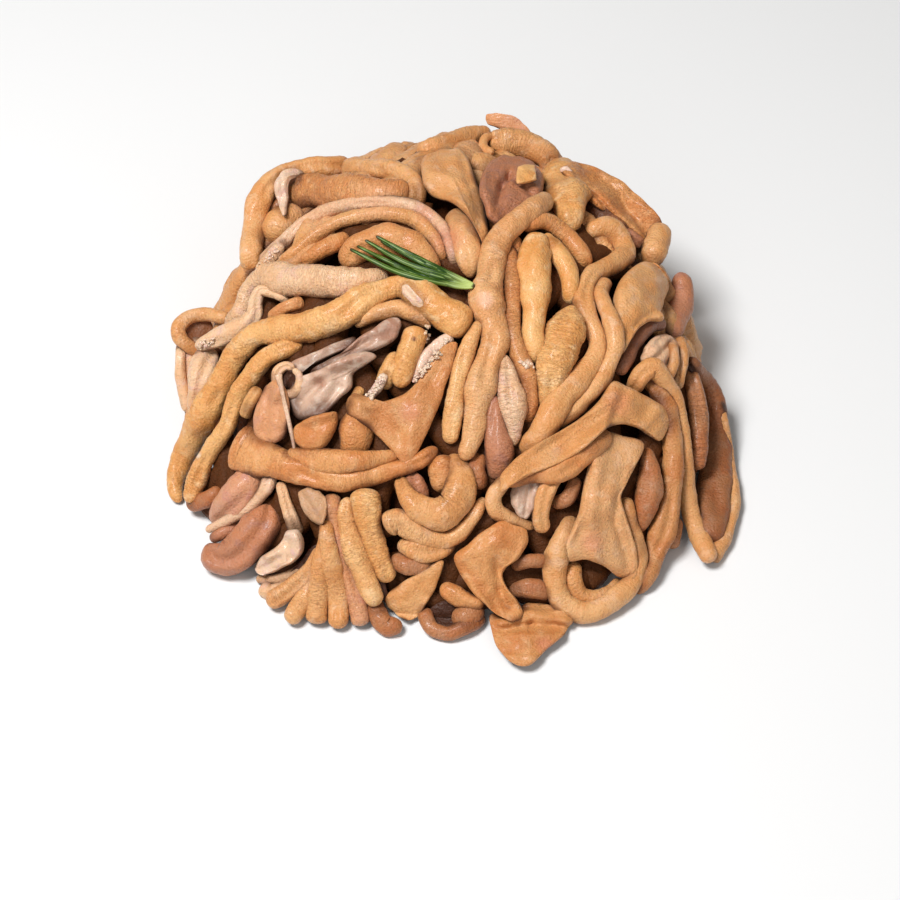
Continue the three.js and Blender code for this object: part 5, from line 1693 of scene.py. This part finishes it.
@dataclass(frozen=True)
class GutFinish:
    """Moist gut wall: blotches, pores, fine folds across the strand, coloured patches and painted shade."""

    name: str
    base: Colour
    warm: Colour
    cool: Colour
    # The fold colour darkens the fine cracks and pores, and is the first step of the painted shade.
    fold: Colour
    roughness: float = 0.46
    wetness: float = 0.2
    relief: float = 1.0
    gloss: float = 0.1
    specular: float = 0.4
    depth_mm: float = 0.9
    sheen: float = 0.04
    lump: float = 0.16
    blotch: Pattern = Pattern(0.085, 3.0, 0.4)
    blotch_edge: Range = (0.38, 0.62)
    patch: Pattern = Pattern(0.21, 3.0, 0.3)
    patch_edge: Range = (0.52, 0.72)
    pore: Pattern = Pattern(1.25, 3.0)
    pore_edge: Range = (0.54, 0.72)
    wet: Pattern = Pattern(0.5)
    wet_edge: Range = (0.55, 0.72)
    crepe: Pattern = Pattern(warp=0.7, stretch=(0.26, 0.26, 1.05))
    fine: Pattern = Pattern(warp=0.4, stretch=(0.7, 0.7, 2.2))
    crack_edge: Range = (0.0, 0.07)
    crease_edge: Range = (0.2, 1.0)
    tint_edge: float = 0.6
    warm_share: float = 0.35
    cool_share: float = 0.3
    crack_share: float = 0.34
    pore_share: float = 0.14
    creased_pore_share: float = 0.42
    # Painted shade: how the depth attribute darkens the colour.
    painted_shade_edge: Range = (0.0, 0.7)
    painted_shade_share: float = 0.45
    dark_edge: Range = (0.2, 0.9)
    dark_share: float = 0.97
    darkest_share: float = 0.78
    crepe_mm: float = 0.5
    crack_mm: float = 0.12
    fine_mm: float = 0.14
    pore_mm: float = 0.48
    pore_roughness: float = 0.25
    # The coat fades where shade is painted.
    shaded_coat_edge: Range = (0.1, 0.7)
    coat_roughness: float = 0.12
    flesh: float = 0.15
    flesh_tint: Colour = (1.0, 0.4, 0.2)
    sheen_roughness: float = 0.45

    def material(self) -> bpy.types.Material:
        """Material of the finish.

        Returns:
            The material, which reads the attributes that a SoftMesh carries.
        """
        graph = Graph(self.name)
        place = graph.place_mm()
        grain = graph.attribute("grain").out("Vector")
        crease = graph.attribute("crease").out("Fac")
        tint = graph.attribute("tint").out("Fac")
        depth = graph.attribute("depth").out("Fac")
        surface_patch = graph.attribute("surface_patch")
        blotch = graph.noise(place, self.blotch)
        patch = graph.noise(place, self.patch)
        pores = graph.noise(place, self.pore)
        wet = graph.noise(place, self.wet).smooth(*self.wet_edge)
        crepe = graph.noise(grain, self.crepe)
        fine = graph.noise(grain, self.fine)
        crack = 1 - abs(crepe - 0.5).smooth(*self.crack_edge)
        colour = graph.mix(blotch.smooth(*self.blotch_edge), self.base, self.warm)
        colour = graph.mix(patch.smooth(*self.patch_edge), colour, self.cool)
        colour = graph.mix(tint.smooth(0.0, self.tint_edge) * self.warm_share, colour, self.warm)
        colour = graph.mix(tint.smooth(0.0, -self.tint_edge) * self.cool_share, colour, self.cool)
        colour = graph.mix(crack * crease.smooth(*self.crease_edge) * self.crack_share, colour, self.fold)
        pore_shade = pores.smooth(*self.pore_edge) * (crease * self.creased_pore_share + self.pore_share)
        colour = graph.mix(pore_shade, colour, self.fold)
        colour = graph.mix(surface_patch.out("Alpha"), colour, surface_patch.out("Color"))
        # Painted shade from the depth attribute: towards the fold colour, then towards DEEP_SHADE.
        deep = graph.mix(self.darkest_share, self.fold, DEEP_SHADE)
        colour = graph.mix(depth.smooth(*self.painted_shade_edge) * self.painted_shade_share, colour, self.fold)
        colour = graph.mix(depth.smooth(*self.dark_edge) * self.dark_share, colour, deep)
        folds = crepe * crease * self.crepe_mm - crack * crease * self.crack_mm
        height = folds + fine * self.fine_mm - pores * self.pore_mm
        return graph.surface(
            {
                "Base Color": colour,
                "Roughness": self.roughness + (pores - 0.5) * self.pore_roughness - wet * self.wetness,
                "Normal": graph.bump(height * self.relief),
                "Coat Weight": (1 - depth.smooth(*self.shaded_coat_edge)) * self.gloss,
                "Coat Roughness": self.coat_roughness,
                "Subsurface Weight": self.flesh,
                "Subsurface Radius": self.flesh_tint,
                "Subsurface Scale": self.depth_mm * METRES,
                "Specular IOR Level": self.specular,
                "Sheen Weight": self.sheen,
                "Sheen Roughness": self.sheen_roughness,
            }
        )


@dataclass(frozen=True)
class LeafFinish:
    """Waxy rosemary needle: dark green, streaks partly of painted highlight, a pale midline and a pale
    foot.
    """

    name: str = "rosemary_leaf"
    base: Colour = srgb(30, 62, 4)
    # Lighter green of the streaks along the needle: partly its own tone, partly painted highlight.
    light: Colour = srgb(122, 150, 52)
    foot: Colour = srgb(180, 196, 110)
    tip: Colour = srgb(62, 52, 24)
    rib: Colour = srgb(150, 176, 104)
    streak: Pattern = Pattern(stretch=(3.2, 3.2, 0.12))
    streak_edge: Range = (0.45, 0.7)
    streak_share: float = 0.6
    streak_mm: float = 0.12
    pore: Pattern = Pattern(3.0)
    pore_mm: float = 0.03
    rib_edge: Range = (0.76, 0.92)
    rib_share: float = 0.7
    foot_edge: Range = (0.7, 1.0)
    tip_edge: Range = (0.0, 0.06)
    cut_edge: Range = (0.975, 1.0)
    roughness: float = 0.34
    pore_roughness: float = 0.15
    specular: float = 0.3

    def material(self) -> bpy.types.Material:
        """Material of the finish.

        Returns:
            The material, which reads the attributes that a SoftMesh carries.
        """
        graph = Graph(self.name)
        grain = graph.attribute("grain").out("Vector")
        near_foot = graph.attribute("tint").out("Fac")
        middle = graph.attribute("crease").out("Fac")
        streak = graph.noise(grain, self.streak)
        pores = graph.noise(grain, self.pore)
        # Lighter streaks along the needle, partly painted highlight.
        colour = graph.mix(streak.smooth(*self.streak_edge) * self.streak_share, self.base, self.light)
        colour = graph.mix(middle.smooth(*self.rib_edge) * self.rib_share, colour, self.rib)
        colour = graph.mix(near_foot.smooth(*self.foot_edge), colour, self.foot)
        colour = graph.mix(1 - near_foot.smooth(*self.tip_edge), colour, self.tip)
        colour = graph.mix(near_foot.smooth(*self.cut_edge), colour, self.tip)
        return graph.surface(
            {
                "Base Color": colour,
                "Roughness": self.roughness + pores * self.pore_roughness,
                "Normal": graph.bump(streak * self.streak_mm + pores * self.pore_mm),
                "Specular IOR Level": self.specular,
            }
        )


def gut(name: str, *colours: tuple[int, int, int], **looks: float) -> GutFinish:
    """Gut finish from screen colours.

    Args:
        name: Name of the material.
        *colours: The colours base, warm, cool and fold.
        **looks: The finish's other fields, where they differ.

    Returns:
        The finish.
    """
    return GutFinish(name, *(srgb(*colour) for colour in colours), **looks)


FINISHES: dict[Skin, GutFinish] = {
    Skin.TAN: gut("gut_tan", (222, 166, 109), (214, 148, 87), (224, 174, 129), (150, 88, 46)),
    Skin.ORANGE: gut("gut_orange", (214, 150, 91), (204, 130, 71), (220, 162, 109), (140, 74, 33)),
    Skin.YELLOW: gut("gut_yellow", (228, 173, 109), (218, 151, 83), (232, 187, 134), (156, 88, 39)),
    Skin.PALE: gut("gut_pale", (230, 191, 153), (224, 176, 131), (222, 180, 155), (170, 116, 81)),
    Skin.PINK: gut("gut_pink", (204, 146, 109), (210, 146, 97), (196, 136, 113), (130, 71, 49)),
    Skin.MAUVE: gut(
        "gut_mauve", (184, 122, 88), (188, 120, 80), (176, 118, 94), (100, 54, 38),
        wetness=0.22,
    ),
    Skin.BROWN: gut("gut_brown", (180, 118, 73), (176, 104, 57), (178, 124, 87), (100, 52, 27)),
    Skin.MEMBRANE: gut(
        "membrane", (208, 174, 150), (178, 132, 108), (228, 204, 184), (110, 72, 58),
        roughness=0.42, relief=0.6, gloss=0.3, depth_mm=1.6, sheen=0.0, lump=0.25,
    ),
    Skin.FAT: gut(
        "fat", (230, 200, 176), (226, 188, 154), (224, 184, 168), (186, 136, 108),
        roughness=0.4, relief=0.8, gloss=0.35, depth_mm=1.6, sheen=0.0, lump=0.3,
    ),
}
# The loops below and the core carry dark painted shade, so their finishes have little specular and no coat
# or sheen.
UNDER_FINISH = replace(FINISHES[Skin.TAN], name="gut_under", specular=0.12, gloss=0.0, sheen=0.0)
CORE_FINISH = replace(FINISHES[Skin.BROWN], name="gut_core", specular=0.05, gloss=0.0, sheen=0.0)


@dataclass
class VisibleLayers:
    """Every strand and flap that shows from the near side, one piece to each kind of surface."""

    bed: Bed
    squeeze: float = 0.6
    swell: float = 1.1
    wide: float = 7.2
    wide_sides: int = 36
    narrow_sides: int = 26
    flap_lump: float = 1.2
    first_seed: float = 1.5
    bodies: list[tuple[Skin, Tube | Drape]] = field(default_factory=list)

    def lay(self) -> None:
        """Lay all strands and flaps from the lowest to the topmost."""
        for number, layer in enumerate(LAYERS):
            LOG.debug("%s is layer %d", layer.name, number)
            if isinstance(layer, Flap):
                drape = Drape(layer, self.bed)
                drape.lay(number)
                self.bodies.append((layer.skin, drape))
            else:
                self.bodies.append((layer.skin, self._strand(layer, number)))

    def build(self, shade: Shade) -> list[bpy.types.Object]:
        """Mesh them by kind.

        Args:
            shade: Painted shade that neighbours give.

        Returns:
            The pieces.
        """
        meshes: dict[Skin, SoftMesh] = {}
        for number, (skin, body) in enumerate(self.bodies):
            if skin not in meshes:
                meshes[skin] = SoftMesh(f"strands_{skin.value}", shade)
            if isinstance(body, Drape):
                meshes[skin].add_flap(body, number, self.flap_lump)
            else:
                meshes[skin].add_tube(body, number)
        return [mesh.build(FINISHES[skin].material()) for skin, mesh in meshes.items()]

    def _strand(self, strand: Strand, number: int) -> Tube:
        """Lay one strand.

        Args:
            strand: The strand.
            number: Its number in the order of laying.

        Returns:
            The laid strand.
        """
        samples = self.bed.view_samples(strand.route, strand.thickness)
        self.bed.ease(samples)
        self.bed.seat(samples, self.squeeze)
        self.bed.lay(samples, number)
        self.bed.bury_ends(samples, "first" not in strand.open_ends, "last" not in strand.open_ends)
        for sample in samples:
            sample.width *= self.swell
            sample.thick *= self.swell
        middle = samples[len(samples) // 2].width
        return Tube(
            samples,
            form=strand.form,
            crease=strand.crease,
            sides=self.wide_sides if middle > self.wide else self.narrow_sides,
            lump=FINISHES[strand.skin].lump,
            depth=strand.depth,
            seed=number + self.first_seed,
        )


@dataclass
class FarFill:
    """Wandering loops packed between those of the far side, up to the crown, on a bed of their own."""

    bed: Bed
    count: int = 34
    points: int = 8
    stride: float = 12.0
    sink: float = 1.3
    squeeze: float = 0.4
    most_lift: float = 2.5
    most_thickness: float = 9.5
    width: float = 11.0
    width_shares: Range = (0.75, 1.0)
    sway_shares: Range = (0.92, 1.08)
    start_angles: Range = (4.0, 176.0)
    start_slopes: Range = (16.0, 72.0)
    start_curl: float = 0.7
    angle_limits: Range = (-6.0, 186.0)
    slope_limits: Range = (14.0, 80.0)
    slope_share: float = 0.75
    curl_change: float = 0.3
    most_curl: float = 0.8
    make: Make = Make(0.6, 24, 1.2, 401.5)
    seed: int = 260

    def lay(self) -> list[Tube]:
        """Lay the loops.

        Returns:
            The loops.
        """
        chance = random.Random(self.seed)
        tubes = []
        for number in range(self.count):
            samples = self.bed.mound_samples(self.route(chance, number), self.most_thickness, self.sink)
            self.bed.seat(samples, self.squeeze)
            for sample in samples:
                lift = (sample.center - sample.base).length
                sample.center = sample.base + sample.outward * min(lift, self.most_lift)
            self.bed.lay(samples, number)
            tubes.append(self.make.tube(samples, number))
        return tubes

    def route(self, chance: random.Random, number: int) -> list[Spot]:
        """Route of one wandering loop.

        Args:
            chance: Row of random numbers.
            number: Number of the loop, which sets about where it starts.

        Returns:
            The route as (angle, slope, width).
        """
        first, last = self.start_angles
        angle = first + (last - first) * (number + chance.random()) / self.count
        slope = chance.uniform(*self.start_slopes)
        heading = chance.uniform(0, 2 * math.pi)
        curl = chance.uniform(-self.start_curl, self.start_curl)
        width = self.width * chance.uniform(*self.width_shares)
        route = []
        for _ in range(self.points):
            route.append((angle, slope, width * chance.uniform(*self.sway_shares)))
            reach = self.bed.mound.radius * math.sin(math.radians(slope))
            ahead = math.degrees(self.stride * math.cos(heading) / reach)
            angle = clamp(angle + ahead, *self.angle_limits)
            slope = clamp(slope + self.stride * math.sin(heading) * self.slope_share, *self.slope_limits)
            change = chance.uniform(-self.curl_change, self.curl_change)
            curl = clamp(curl + change, -self.most_curl, self.most_curl)
            heading += curl
        return route


@dataclass
class FarSide:
    """Hanging loops and crossing arcs on the far side, which lie round the mound by one rule."""

    bed: Bed
    loops: int = 7
    first_angle: float = 18.0
    last_angle: float = 164.0
    angle_spread: float = 0.3
    width: float = 11.0
    least_width_share: float = 0.85
    width_spread: float = 0.3
    most_thickness: float = 10.5
    half_share: float = 0.52
    belly_share: float = 1.3
    foot_slope: float = 87.0
    foot_spread: float = 6.0
    ankle_rise: float = 7.0
    top_slope: float = 46.0
    top_stagger: float = 8.0
    top_spread: float = 4.0
    sink: float = 0.15
    squeeze: float = 0.4
    make: Make = Make(0.6, 26, 1.0, 0.5)
    arcs: int = 4
    arc_shape: tuple[Pair, ...] = ((-4, 13), (14, 0), (36, 2), (50, 15))
    arc_angle: float = 26.0
    arc_turn: float = 29.0
    arc_angle_spread: float = 6.0
    arc_slope: float = 55.0
    arc_stagger: float = 7.0
    arc_slope_spread: float = 3.0
    draw_state: int = 7
    draw_factor: int = 16807
    draw_modulus: int = 2147483647
    first_number: int = 200
    tubes: list[Tube] = field(default_factory=list)

    def draw(self) -> float:
        """Next number from 0 to 1 of a fixed row."""
        self.draw_state = self.draw_state * self.draw_factor % self.draw_modulus
        return self.draw_state / self.draw_modulus

    def angle_aside(self, angle: float, slope: float, aside: float) -> float:
        """Angle round the mound that lies aside of another.

        Args:
            angle: The other angle, in degrees.
            slope: Slope at which both lie, in degrees.
            aside: How many millimetres aside it lies.

        Returns:
            The angle.
        """
        mound = self.bed.mound
        reach = mound.radius * math.sin(math.radians(slope)) ** (2 / mound.plan_roundness)
        return angle + math.degrees(aside / reach)

    def strand_width(self) -> float:
        """Width of one strand."""
        return self.width * (self.least_width_share + self.width_spread * self.draw())

    def loop(self, middle: float, stagger: int) -> list[Spot]:
        """Route of a loop that hangs down to the ground.

        Args:
            middle: Angle of its middle.
            stagger: 0 for a high loop and 1 for a lower one.

        Returns:
            The route as (angle, slope, width).
        """
        width = self.strand_width()
        half = self.half_share * width
        sway = width * (self.draw() - 0.5)
        foot = self.foot_slope - self.foot_spread * self.draw()
        ankle = foot - self.ankle_rise
        top = self.top_slope + self.top_stagger * stagger + self.top_spread * self.draw()
        waist = (top + foot) / 2
        belly = self.belly_share * half
        return [
            (self.angle_aside(middle, top, sway - half), top, width),
            (self.angle_aside(middle, waist, -belly), waist, width),
            (self.angle_aside(middle, ankle, -half), ankle, width),
            (middle, foot, width),
            (self.angle_aside(middle, ankle, half), ankle, width),
            (self.angle_aside(middle, waist, belly), waist, width),
            (self.angle_aside(middle, top, sway + half), top, width),
        ]

    def routes(self) -> list[list[Spot]]:
        """Routes of all loops and arcs.

        Returns:
            The routes as (angle, slope, width).
        """
        made = []
        turn = (self.last_angle - self.first_angle) / (self.loops - 1)
        for number in range(self.loops):
            middle = self.first_angle + turn * (number + self.angle_spread * (self.draw() - 0.5))
            made.append(self.loop(middle, number % 2))
        for number in range(self.arcs):
            start = self.arc_angle + number * self.arc_turn + self.arc_angle_spread * self.draw()
            slope = self.arc_slope + self.arc_stagger * (number % 2) + self.arc_slope_spread * self.draw()
            width = self.strand_width()
            made.append([(start + ahead, slope + lower, width) for ahead, lower in self.arc_shape])
        return made

    def lay(self) -> None:
        """Lay the loops and arcs, and their fill."""
        for number, route in enumerate(self.routes(), self.first_number):
            samples = self.bed.mound_samples(route, self.most_thickness, self.sink)
            self.bed.seat(samples, self.squeeze)
            self.bed.lay(samples, number)
            self.tubes.append(self.make.tube(samples, number))
        self.tubes.extend(FarFill(Bed(self.bed.view, self.bed.mound)).lay())

    def build(self, shade: Shade) -> list[bpy.types.Object]:
        """Mesh them.

        Args:
            shade: Painted shade that neighbours give.

        Returns:
            The piece.
        """
        mesh = SoftMesh("far_side_loops", shade)
        for number, tube in enumerate(self.tubes, self.first_number):
            mesh.add_tube(tube, number)
        return [mesh.build(FINISHES[Skin.TAN].material())]


@dataclass
class UnderLoops:
    """The loops below, which show in the gaps and over the far side, on a core of their own."""

    bed: Bed
    count: int = 75
    points: int = 9
    stride: float = 12.0
    width: float = 9.0
    sink: float = 1.4
    core_share: float = 0.85
    fade_start: float = 34.0
    fade_length: float = 40.0
    # Painted shade of the loops below and the core, near and over the far side.
    near_depth: float = 0.96
    far_depth: float = 0.42
    number: int = 300
    most_thickness: float = 8.0
    width_shares: Range = (0.8, 1.15)
    sway_shares: Range = (0.9, 1.1)
    start_heights: Range = (0.02, 1.0)
    start_curl: float = 0.5
    least_ring: float = 0.25
    slope_ring: float = 0.85
    slope_limits: Range = (4.0, 86.0)
    curl_change: float = 0.35
    most_curl: float = 0.8
    make: Make = Make(0.5, 18, 1.6, 301.5)
    seed: int = 11
    core_sectors: int = 96
    core_bands: int = 64
    core_lump: float = 0.02
    core_lump_length: float = 8.0

    def meander(self, chance: random.Random) -> list[Spot]:
        """Route of one wandering loop.

        Args:
            chance: Row of random numbers.

        Returns:
            The route as (angle, slope, width).
        """
        angle = chance.uniform(0, 360)
        slope = math.degrees(math.acos(chance.uniform(*self.start_heights)))
        heading = chance.uniform(0, 2 * math.pi)
        curl = chance.uniform(-self.start_curl, self.start_curl)
        width = self.width * chance.uniform(*self.width_shares)
        radius = self.bed.mound.radius
        route = []
        for _ in range(self.points):
            route.append((angle, slope, width * chance.uniform(*self.sway_shares)))
            ring = max(math.sin(math.radians(slope)), self.least_ring)
            angle += math.degrees(self.stride * math.cos(heading) / (radius * ring))
            slope += math.degrees(self.stride * math.sin(heading) / (radius * self.slope_ring))
            if not self.slope_limits[0] <= slope <= self.slope_limits[1]:
                slope = clamp(slope, *self.slope_limits)
                heading = -heading
            change = chance.uniform(-self.curl_change, self.curl_change)
            curl = clamp(curl + change, -self.most_curl, self.most_curl)
            heading += curl
        return route

    def build(self, shade: Shade) -> list[bpy.types.Object]:
        """Mesh the core and the loops on it.

        Args:
            shade: Painted shade that neighbours give.

        Returns:
            The two pieces.
        """
        chance = random.Random(self.seed)
        mesh = SoftMesh("under_loops", shade)
        for number in range(self.count):
            samples = self.bed.mound_samples(self.meander(chance), self.most_thickness, self.sink)
            # Painted shade: the loops are darker where they show in the gaps.
            depth = self.darkness(samples[len(samples) // 2].base)
            mesh.add_tube(self.make.tube(samples, number, depth), self.number)
        return [mesh.build(UNDER_FINISH.material()), self.core(shade)]

    def darkness(self, place: Vector) -> float:
        """Painted shade in the gaps at a place: less over the far side, where nothing lies on the loops."""
        share = clamp((place.y - self.fade_start) / self.fade_length, 0, 1)
        return self.near_depth + (self.far_depth - self.near_depth) * share

    def core(self, shade: Shade) -> bpy.types.Object:
        """The core: the mound a little smaller, with a flat underside, painted dark as the shade in the
        gaps.

        Args:
            shade: Painted shade that neighbours give.

        Returns:
            The piece.
        """
        mesh = SoftMesh("core", shade)
        made = bmesh.ops.create_uvsphere(
            mesh.bm, u_segments=self.core_sectors, v_segments=self.core_bands, radius=1.0
        )
        for vert in made["verts"]:
            angle = math.atan2(vert.co.y, vert.co.x)
            slope = math.acos(clamp(abs(vert.co.z), 0, 1))
            if vert.co.z < 0:
                reach = self.bed.mound.plan_radius(angle) * math.sin(slope) * self.core_share
                place = Vector((reach * math.cos(angle), reach * math.sin(angle), 0))
            else:
                place = self.bed.mound.point(angle, slope) * self.core_share
                place *= 1 + self.core_lump * noise.noise(place / self.core_lump_length)
            vert.co = place
            vert[mesh.grain] = place
            vert[mesh.crease] = self.make.crease
            # Painted shade of the core.
            vert[mesh.depth] = self.darkness(place)
            vert[mesh.surface_patch] = mesh.no_patch
        mesh.finish_part()
        return mesh.build(CORE_FINISH.material())


@dataclass
class Crumbs:
    """Small loose bits of fat and tissue, strewn along short lines in the view."""

    bed: Bed
    lines: tuple[tuple[Spot, Spot, int], ...] = (
        ((449, 338, 0.65), (416, 380, 0.5), 110),
        ((383, 378, 0.65), (368, 398, 0.55), 70),
        ((260, 268, 0.6), (280, 247, 0.55), 30),
        ((212, 340, 0.6), (198, 347, 0.55), 24),
        ((522, 362, 0.9), (534, 366, 0.8), 5),
        ((426, 326, 0.8), (430, 344, 0.7), 8),
    )
    strew: float = 3.0
    size_shares: Range = (0.6, 1.1)
    squeeze: float = 0.95
    seed_spread: float = 50.0
    seed: int = 5

    def build(self, shade: Shade) -> list[bpy.types.Object]:
        """Mesh the crumbs on top of what lies under them.

        Args:
            shade: Painted shade that neighbours give.

        Returns:
            The piece.
        """
        chance = random.Random(self.seed)
        mesh = SoftMesh("fat_crumbs", shade)
        for first, last, count in self.lines:
            for number in range(count):
                share = (number + chance.uniform(-0.5, 0.5)) / count
                across, down, size = (a + (b - a) * share for a, b in zip(first, last))
                across += chance.uniform(-self.strew, self.strew)
                down += chance.uniform(-self.strew, self.strew)
                radius = size * chance.uniform(*self.size_shares)
                line = self.bed.view.sight_line(across, down)
                base = self.bed.mound.sight_hit(self.bed.view, line, radius)
                sample = Sample(base, -line, 2 * radius, 2 * radius, base)
                self.bed.seat([sample], self.squeeze)
                mesh.add_ball(sample.center, radius, number + chance.uniform(0, self.seed_spread))
        return [mesh.build(FINISHES[Skin.FAT].material())]


@dataclass
class RosemarySprig:
    """Nine needles that meet at one pale foot."""

    bed: Bed
    foot: Place = (474, 286)
    width: float = 2.0
    thickness: float = 1.4
    tip_share: float = 0.5
    foot_share: float = 0.8
    clearance: float = 1.12
    lift: float = 0.8
    sides: int = 16
    step: float = 0.8
    lump: float = 0.04
    gather: float = 0.1
    first_seed: float = 0.5
    needles: tuple[tuple[Place, ...], ...] = (
        ((350, 249), (398, 272), (448, 284)),
        ((357, 246), (404, 268), (452, 281)),
        ((365, 240), (404, 262), (449, 277)),
        ((371, 244), (415, 268), (458, 282)),
        ((376, 236), (414, 257), (456, 277)),
        ((373, 255), (415, 274), (457, 286)),
        ((381, 241), (421, 262), (461, 281)),
        ((390, 259), (428, 273), (464, 284)),
        ((400, 248), (434, 266), (466, 282)),
    )

    def build(self, shade: Shade) -> list[bpy.types.Object]:
        """Lay and mesh the needles.

        Args:
            shade: Painted shade that neighbours give.

        Returns:
            The piece.
        """
        mesh = SoftMesh("rosemary_needles", shade)
        for number, (tip, middle, foot) in enumerate(self.needles):
            route = [
                (*tip, self.width * self.tip_share),
                (*middle, self.width),
                (*foot, self.width),
                (*self.foot, self.width * self.foot_share),
            ]
            samples = self.bed.view_samples(route, self.thickness)
            self.bed.seat(samples, self.clearance)
            for sample in samples:
                sample.center += sample.outward * self.lift
            tube = Tube(
                samples,
                form=Form.LEAF,
                sides=self.sides,
                step=self.step,
                lump=self.lump,
                gather=self.gather,
                seed=number + self.first_seed,
            )
            mesh.add_tube(tube, number)
        return [mesh.build(LeafFinish().material())]


@dataclass(frozen=True)
class AreaLight:
    """A soft square light that looks at the heap: its place and side in metres, and its power."""

    name: str
    place: Triple
    side: float
    watts: float

    def build(self) -> None:
        """Make the light."""
        light = bpy.data.lights.new(self.name, "AREA")
        light.size = self.side
        light.energy = self.watts
        lamp = bpy.data.objects.new(self.name, light)
        lamp.location = self.place
        lamp.rotation_mode = "QUATERNION"
        lamp.rotation_quaternion = (-Vector(self.place)).to_track_quat("-Z", "Y")
        bpy.context.scene.collection.objects.link(lamp)


@dataclass
class Studio:
    """Plain pale floor, soft studio light and the camera."""

    lights: tuple[AreaLight, ...] = (
        AreaLight("key", (-0.42, -0.2, 1.13), 0.36, 15.4),
        AreaLight("fill", (0.8, -0.7, 0.9), 1.2, 2.4),
        AreaLight("front", (-0.3, -1.1, 0.9), 0.9, 2.6),
    )
    floor_half: float = 3.0
    floor_drop: float = 0.0002
    floor_roughness: float = 0.7
    floor_colour: Colour = srgb(236, 236, 236)
    world_colour: Colour = srgb(250, 248, 243)
    world_strength: float = 0.16
    clip: Range = (0.01, 20.0)

    def build(self, view: View) -> None:
        """Make the floor, the lights and the camera.

        Args:
            view: Viewing position that the camera takes.
        """
        self.floor()
        for light in self.lights:
            light.build()
        self.world()
        self.camera(view)

    def floor(self) -> None:
        """Floor on which the heap lies."""
        bm = bmesh.new()
        bmesh.ops.create_grid(bm, x_segments=2, y_segments=2, size=self.floor_half)
        bmesh.ops.translate(bm, vec=(0, 0, -self.floor_drop), verts=bm.verts)
        mesh = bpy.data.meshes.new("floor")
        bm.to_mesh(mesh)
        bm.free()
        graph = Graph("floor")
        looks = {"Base Color": (*self.floor_colour, 1), "Roughness": self.floor_roughness}
        mesh.materials.append(graph.surface(looks))
        floor = bpy.data.objects.new("floor", mesh)
        bpy.context.scene.collection.objects.link(floor)

    def world(self) -> None:
        """Even pale surroundings."""
        world = bpy.data.worlds.new("studio")
        world.use_nodes = True
        background = world.node_tree.nodes["Background"]
        background.inputs["Color"].default_value = (*self.world_colour, 1)
        background.inputs["Strength"].default_value = self.world_strength
        bpy.context.scene.world = world

    def camera(self, view: View) -> None:
        """Camera at the viewing position.

        Args:
            view: The viewing position.
        """
        camera = bpy.data.cameras.new("camera")
        camera.lens = view.lens_mm
        camera.sensor_width = view.sensor_mm
        camera.clip_start, camera.clip_end = self.clip
        holder = bpy.data.objects.new("camera", camera)
        holder.location = view.eye * METRES
        holder.rotation_mode = "QUATERNION"
        holder.rotation_quaternion = view.forward.to_track_quat("-Z", "Y")
        bpy.context.scene.collection.objects.link(holder)
        bpy.context.scene.camera = holder


def main() -> None:
    """Build the heap and the sprig, and report each piece."""
    logging.basicConfig(level=logging.INFO, format="%(message)s")
    Studio().build(VIEW)
    bpy.context.scene.view_settings.view_transform = "Standard"
    bed = Bed(VIEW, MOUND)
    far_side = FarSide(bed)
    far_side.lay()
    visible = VisibleLayers(bed)
    visible.lay()
    LOG.info("%d samples laid", len(bed.laid))
    shade = Shade(bed)
    parts = (far_side, visible, Crumbs(bed), UnderLoops(bed))
    heap = [piece for part in parts for piece in part.build(shade)]
    sprig = RosemarySprig(bed).build(shade)
    for pieces, node, slot in ((heap, HEAP_NODE, HEAP_SLOT), (sprig, SPRIG_NODE, SPRIG_SLOT)):
        for piece in pieces:
            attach(piece, BODY)
            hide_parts(node)
            LOG.info("%s: %d faces", piece.name, len(piece.data.polygons))


if __name__ == "__main__":
    main()
